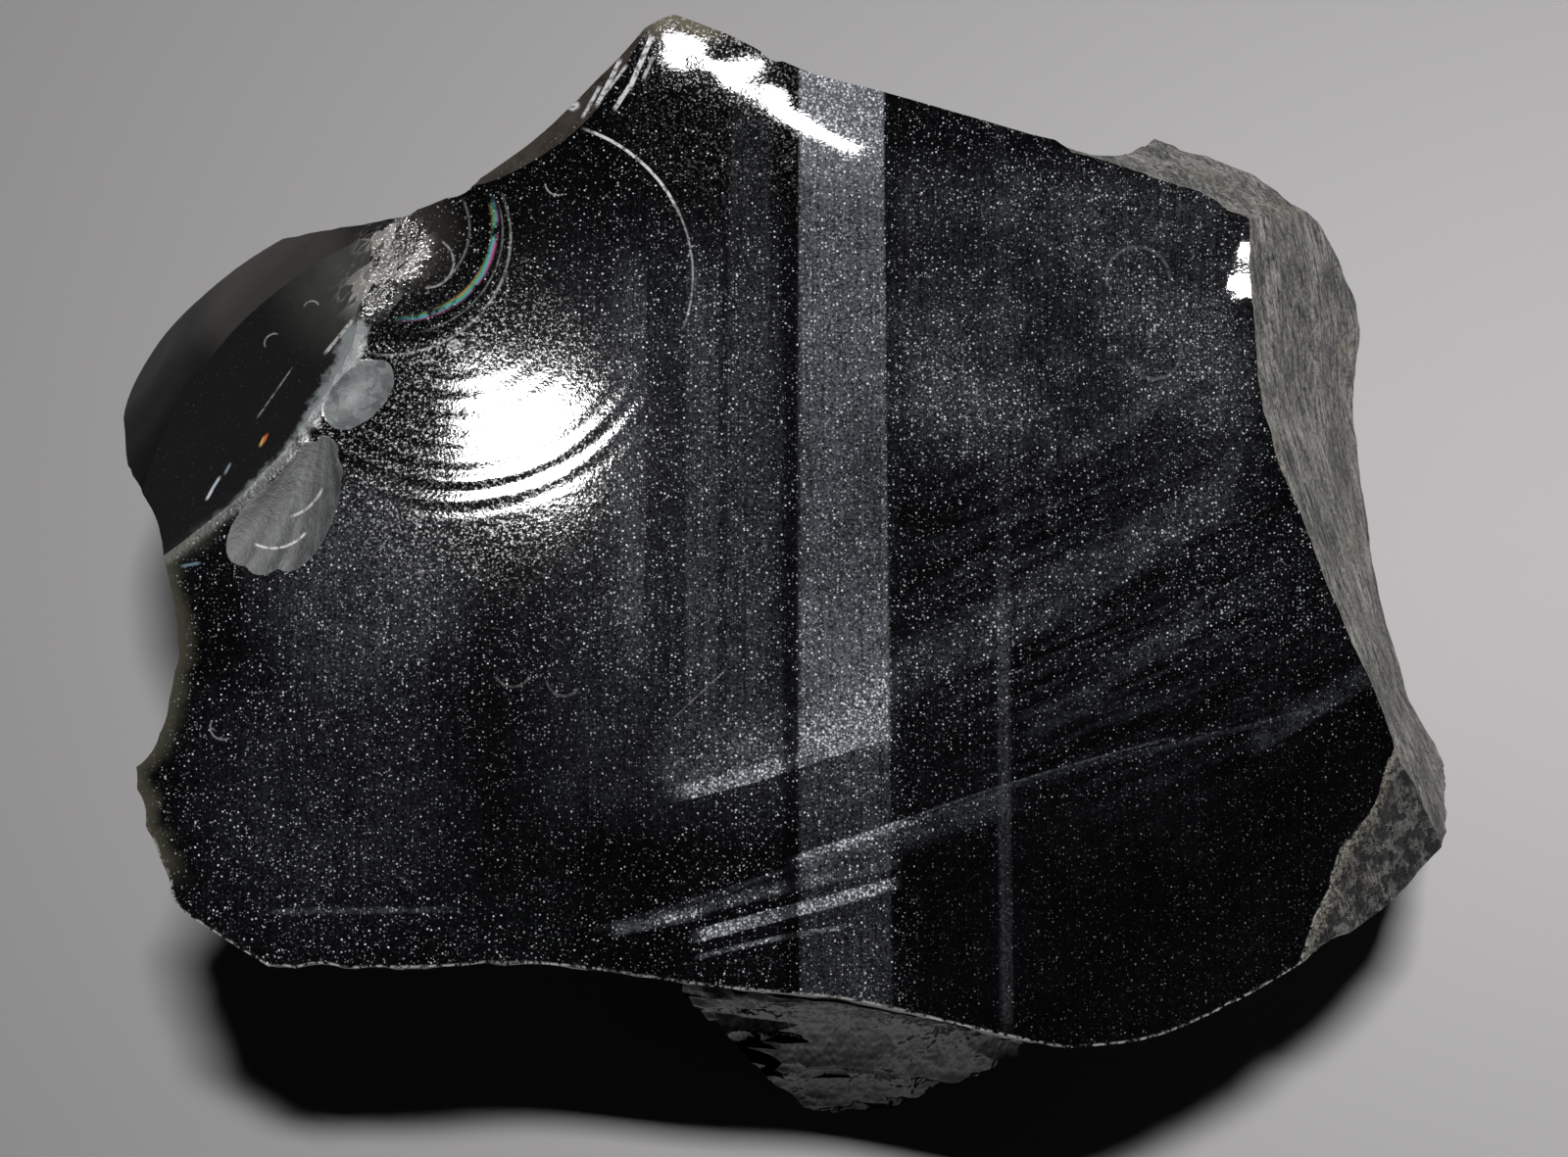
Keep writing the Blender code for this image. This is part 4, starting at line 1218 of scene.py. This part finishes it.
def iridescence(graph, colour):
    """Painted iridescent reflections: rainbow arcs in the crack round the point of the blow, small
    coloured glints on the shoulder, and pale rings painted as highlights on the rims of the cone
    and its cracks.
    """
    on_cone = graph.kind("cone", "top")
    shifted = graph.from_point(*BLOW)[2] + graph.noise(0.35, 2.0) * 0.8 + -0.4
    rainbow = graph.ramp(shifted - 6.3, RAINBOW)
    arc = graph.arc(BLOW, 6.85, -95, 25, 0.08, 0.30, 25)
    patch = graph.noise(1.1, 2.0).step(0.34, 0.54)
    colour = graph.mix(arc * patch * on_cone * 0.80, colour, rainbow)
    for start, end, tint in GLEAMS:
        colour = graph.mix(graph.mark(start, end, 0.03, 0.13, 0.4), colour, tint)
    ragged = graph.noise(1.6, 3.0, 0.7).step(0.36, 0.60, 0.15, 1.0)
    rings = 0.0
    for *shape, strength in RINGS:
        rings = (graph.arc(*shape) * strength).at_least(rings)
    return graph.mix(rings * ragged * on_cone * 0.75, colour, RING)


def marks(graph, colour, region):
    """Painted highlights on the ridges of the last blow at the apex and on the arc of the step,
    lint, and the dried rings of old drops.
    """
    ragged = graph.noise(2.4, 2.0, 0.7).step(0.36, 0.55, 0.25, 1.0)
    lines = [graph.mark(start, end, half, 0.08) * strength
             for start, end, half, strength in MARKS if region.holds((start, end), 1.0)]
    lines += [graph.arc(centre, radius, *shape, 0.08) * strength
              for centre, radius, *shape, strength in CURLS
              if region.holds((centre,), radius + 1.0)]
    lines += [graph.spot(x, y, radius, 0.3) * strength
              for x, y, radius, strength in GRAINS if region.holds(((x, y),), 1.0)]
    strongest = 0.0
    for line in lines:
        strongest = line.at_least(strongest)
    return graph.mix(strongest * ragged, colour, RIDGE_HIGHLIGHT_AND_LINT)


def cortex_material():
    """The grey weathered skin of the flow, combed along the rim and pitted where it lies flat."""
    graph = Graph("obsidian_cortex")
    combed = graph.streaky_noise((2.4, 0.28, 1.0), 5.0, 0.72, turn=16)
    hairs = graph.streaky_noise((5.0, 0.45, 1.8), 3.0, 0.7, turn=16)
    fine = graph.noise(3.0, 4.0, 0.75)
    tone = combed * 0.38 + graph.noise(0.22, 4.0, 0.6) * 0.24 + fine * 0.38
    colour = graph.ramp(tone.step(0.39, 0.62), SKIN)
    colour = graph.mix(graph.noise(0.16, 2.0).step(0.55, 0.75) * 0.30, colour, SKIN_TAN)
    dark = hairs.step(0.54, 0.64)
    colour = graph.mix(dark * 0.75, colour, SKIN_HAIR)
    flat = graph.upward().step(0.66, 0.80)
    pits = graph.noise(0.95, 4.0, 0.7).step(0.47, 0.56)
    colour = graph.mix(flat * 0.66, colour, SKIN_FLAT)
    colour = graph.mix(flat * pits * 0.80, colour, SKIN_PIT)
    edge = graph.attribute("rim_distance").step(1.2, 0.2)
    colour = graph.mix(edge * fine.step(0.40, 0.60) * 0.7, colour, SKIN_EDGE)
    graph.shade(Base_Color=colour, Roughness=0.75)
    graph.bump(combed * 0.6 + fine * 0.5 + dark * -0.3 + flat * pits * -0.5, 0.9, 0.5)
    return graph.material


# ---- the finished piece --------------------------------------------------------------

def give_materials(mesh, kinds):
    """The top gets the material of its region. The walls, the keel, the cortex and the outer
    part of the shoulder have their own.
    """
    centres = np.empty(len(mesh.polygons) * 3)
    mesh.polygons.foreach_get("center", centres)
    x, y, _ = centres.reshape(-1, 3).T / MM
    mesh.materials.clear()
    for region in REGIONS:
        mesh.materials.append(top_material(region, "glass_" + region.name))
    chosen = np.zeros(len(kinds), dtype=np.int32)
    for number, region in enumerate(REGIONS):
        inside = ((x >= region.low[0]) & (x < region.high[0])
                  & (y >= region.low[1]) & (y < region.high[1]))
        chosen[inside] = number
    others = (
        (wall_material("glass_walls"), ("wall", "base")),
        (wall_material("glass_keel", KEEL_LEVEL, KEEL_FOLDS), ("keel",)),
        (cortex_material(), ("cortex",)),
        (top_material(LEFT_BACK, "glass_shoulder", SHOULDER_LEVEL), ("lobe_outer",)),
    )
    for number, (material, names) in enumerate(others, len(REGIONS)):
        mesh.materials.append(material)
        chosen[np.isin(kinds, [KINDS.index(name) for name in names])] = number
    mesh.polygons.foreach_set("material_index", chosen)


def make_chunk():
    """The whole piece, with its materials, in the place of the CAD solid."""
    mesh = strike_chunk()
    bodies = largest_body(mesh)
    kinds = face_kinds(mesh)
    store(mesh, "face_kind", kinds, 'FACE')
    for name, kind, others in (
            ("rim_distance", "top", ("wall", "cortex", "bevel", "lobe_inner", "keel")),
            ("crest_distance", "lobe_inner", ("top", "oval", "fan"))):
        store(mesh, name, vertex_distance(mesh, kinds, kind, others))
    give_materials(mesh, kinds)
    mesh.shade_smooth()
    mesh.set_sharp_from_angle(angle=math.radians(SHARP_ANGLE))
    chunk = bpy.data.objects.new("obsidian_surface", mesh)
    chunk.location = (ORIGIN_SHIFT[0] * MM, ORIGIN_SHIFT[1] * MM, 0)
    bpy.context.scene.collection.objects.link(chunk)
    triangles = sum(len(polygon.vertices) - 2 for polygon in mesh.polygons)
    print(f"chunk: {triangles} triangles, {bodies} bodies before the crumbs went")
    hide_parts("obsidian_chunk")
    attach(chunk, "root")


# ---- stage ---------------------------------------------------------------------------

FLOOR_HALF = 0.6            # metres
FLOOR_FADE = (105, 210)     # where the floor starts to fade out, and where it is gone
HORIZON, ZENITH = 0.13, 0.004
FLASH_WATTS, GLINT_WATTS = 3.2, 0.62
LAMP_COLOUR = (1.0, 0.99, 0.98)
LAMP_TARGET = (0, 0, 40)


def make_floor():
    """A plain pale floor with painted light on it, darker to the left and brightest across the
    middle, that fades out into the backdrop.
    """
    bm = bmesh.new()
    bmesh.ops.create_grid(bm, x_segments=1, y_segments=1, size=FLOOR_HALF)
    mesh = bpy.data.meshes.new("floor")
    bm.to_mesh(mesh)
    bm.free()
    floor = bpy.data.objects.new("floor", mesh)
    bpy.context.scene.collection.objects.link(floor)
    graph = Graph("floor_paper")
    middle = abs(graph.y - 5.0).step(0, 110, 1.0, 0.0)
    # painted light: darker towards -X and brightest in a band round Y = 5 mm
    colour = graph.mix(graph.x.step(-150, 110) * (0.35 + middle * 0.65), FLOOR_DARK, FLOOR_PALE)
    away = graph.value("Value", 'ShaderNodeVectorMath', {0: graph.place}, operation='LENGTH')
    graph.shade(Base_Color=colour, Roughness=0.9, Specular_IOR_Level=0.2,
                Alpha=away.step(*FLOOR_FADE, 1.0, 0.0))
    mesh.materials.append(graph.material)


def make_world():
    """Dark overhead, so that the top face stays black, and pale round the horizon."""
    world = bpy.data.worlds.new("studio")
    world.use_nodes = True
    bpy.context.scene.world = world
    tree = world.node_tree
    place = tree.nodes.new('ShaderNodeTexCoord')
    split = tree.nodes.new('ShaderNodeSeparateXYZ')
    shade = tree.nodes.new('ShaderNodeMapRange')
    shade.interpolation_type = 'SMOOTHSTEP'
    for name, value in (("From Min", 0.03), ("From Max", 0.24), ("To Min", HORIZON),
                        ("To Max", ZENITH)):
        shade.inputs[name].default_value = value
    tree.links.new(place.outputs["Generated"], split.inputs[0])
    tree.links.new(split.outputs["Z"], shade.inputs["Value"])
    background = tree.nodes["Background"]
    tree.links.new(shade.outputs[0], background.inputs["Color"])
    background.inputs["Strength"].default_value = 1.0


def area_light(name, place, size, power):
    """A rectangular lamp that faces the chunk."""
    light = bpy.data.lights.new(name, 'AREA')
    light.shape = 'RECTANGLE'
    light.size, light.size_y = size[0] * MM, size[1] * MM
    light.energy = power
    light.color = LAMP_COLOUR
    made = bpy.data.objects.new(name, light)
    made.location = Vector(place) * MM
    toward = Vector(LAMP_TARGET) - Vector(place)
    made.rotation_euler = toward.to_track_quat('-Z', 'Y').to_euler()
    bpy.context.scene.collection.objects.link(made)
    return made


def make_lights():
    """One wide flash behind lights all things. A nearer one gives the glass its glints."""
    flash = area_light("flash", (16, 104, 590), (75, 28), FLASH_WATTS)
    flash.visible_glossy = False
    glint = area_light("glint", (7.8, 58.1, 330), (36, 36), GLINT_WATTS)
    glint.visible_diffuse = False


def make_camera():
    """The camera looks down from the front, at 80 degrees."""
    camera = bpy.data.cameras.new("camera")
    camera.sensor_width = 36
    camera.lens = 76.5
    camera.clip_start = 0.01
    made = bpy.data.objects.new("camera", camera)
    made.location = (-0.00223, -0.04356, 0.27835)
    made.rotation_euler = (math.radians(10), 0, 0)
    bpy.context.scene.collection.objects.link(made)
    bpy.context.scene.camera = made


make_chunk()
make_floor()
make_world()
make_camera()
make_lights()
bpy.context.scene.view_settings.view_transform = 'Standard'
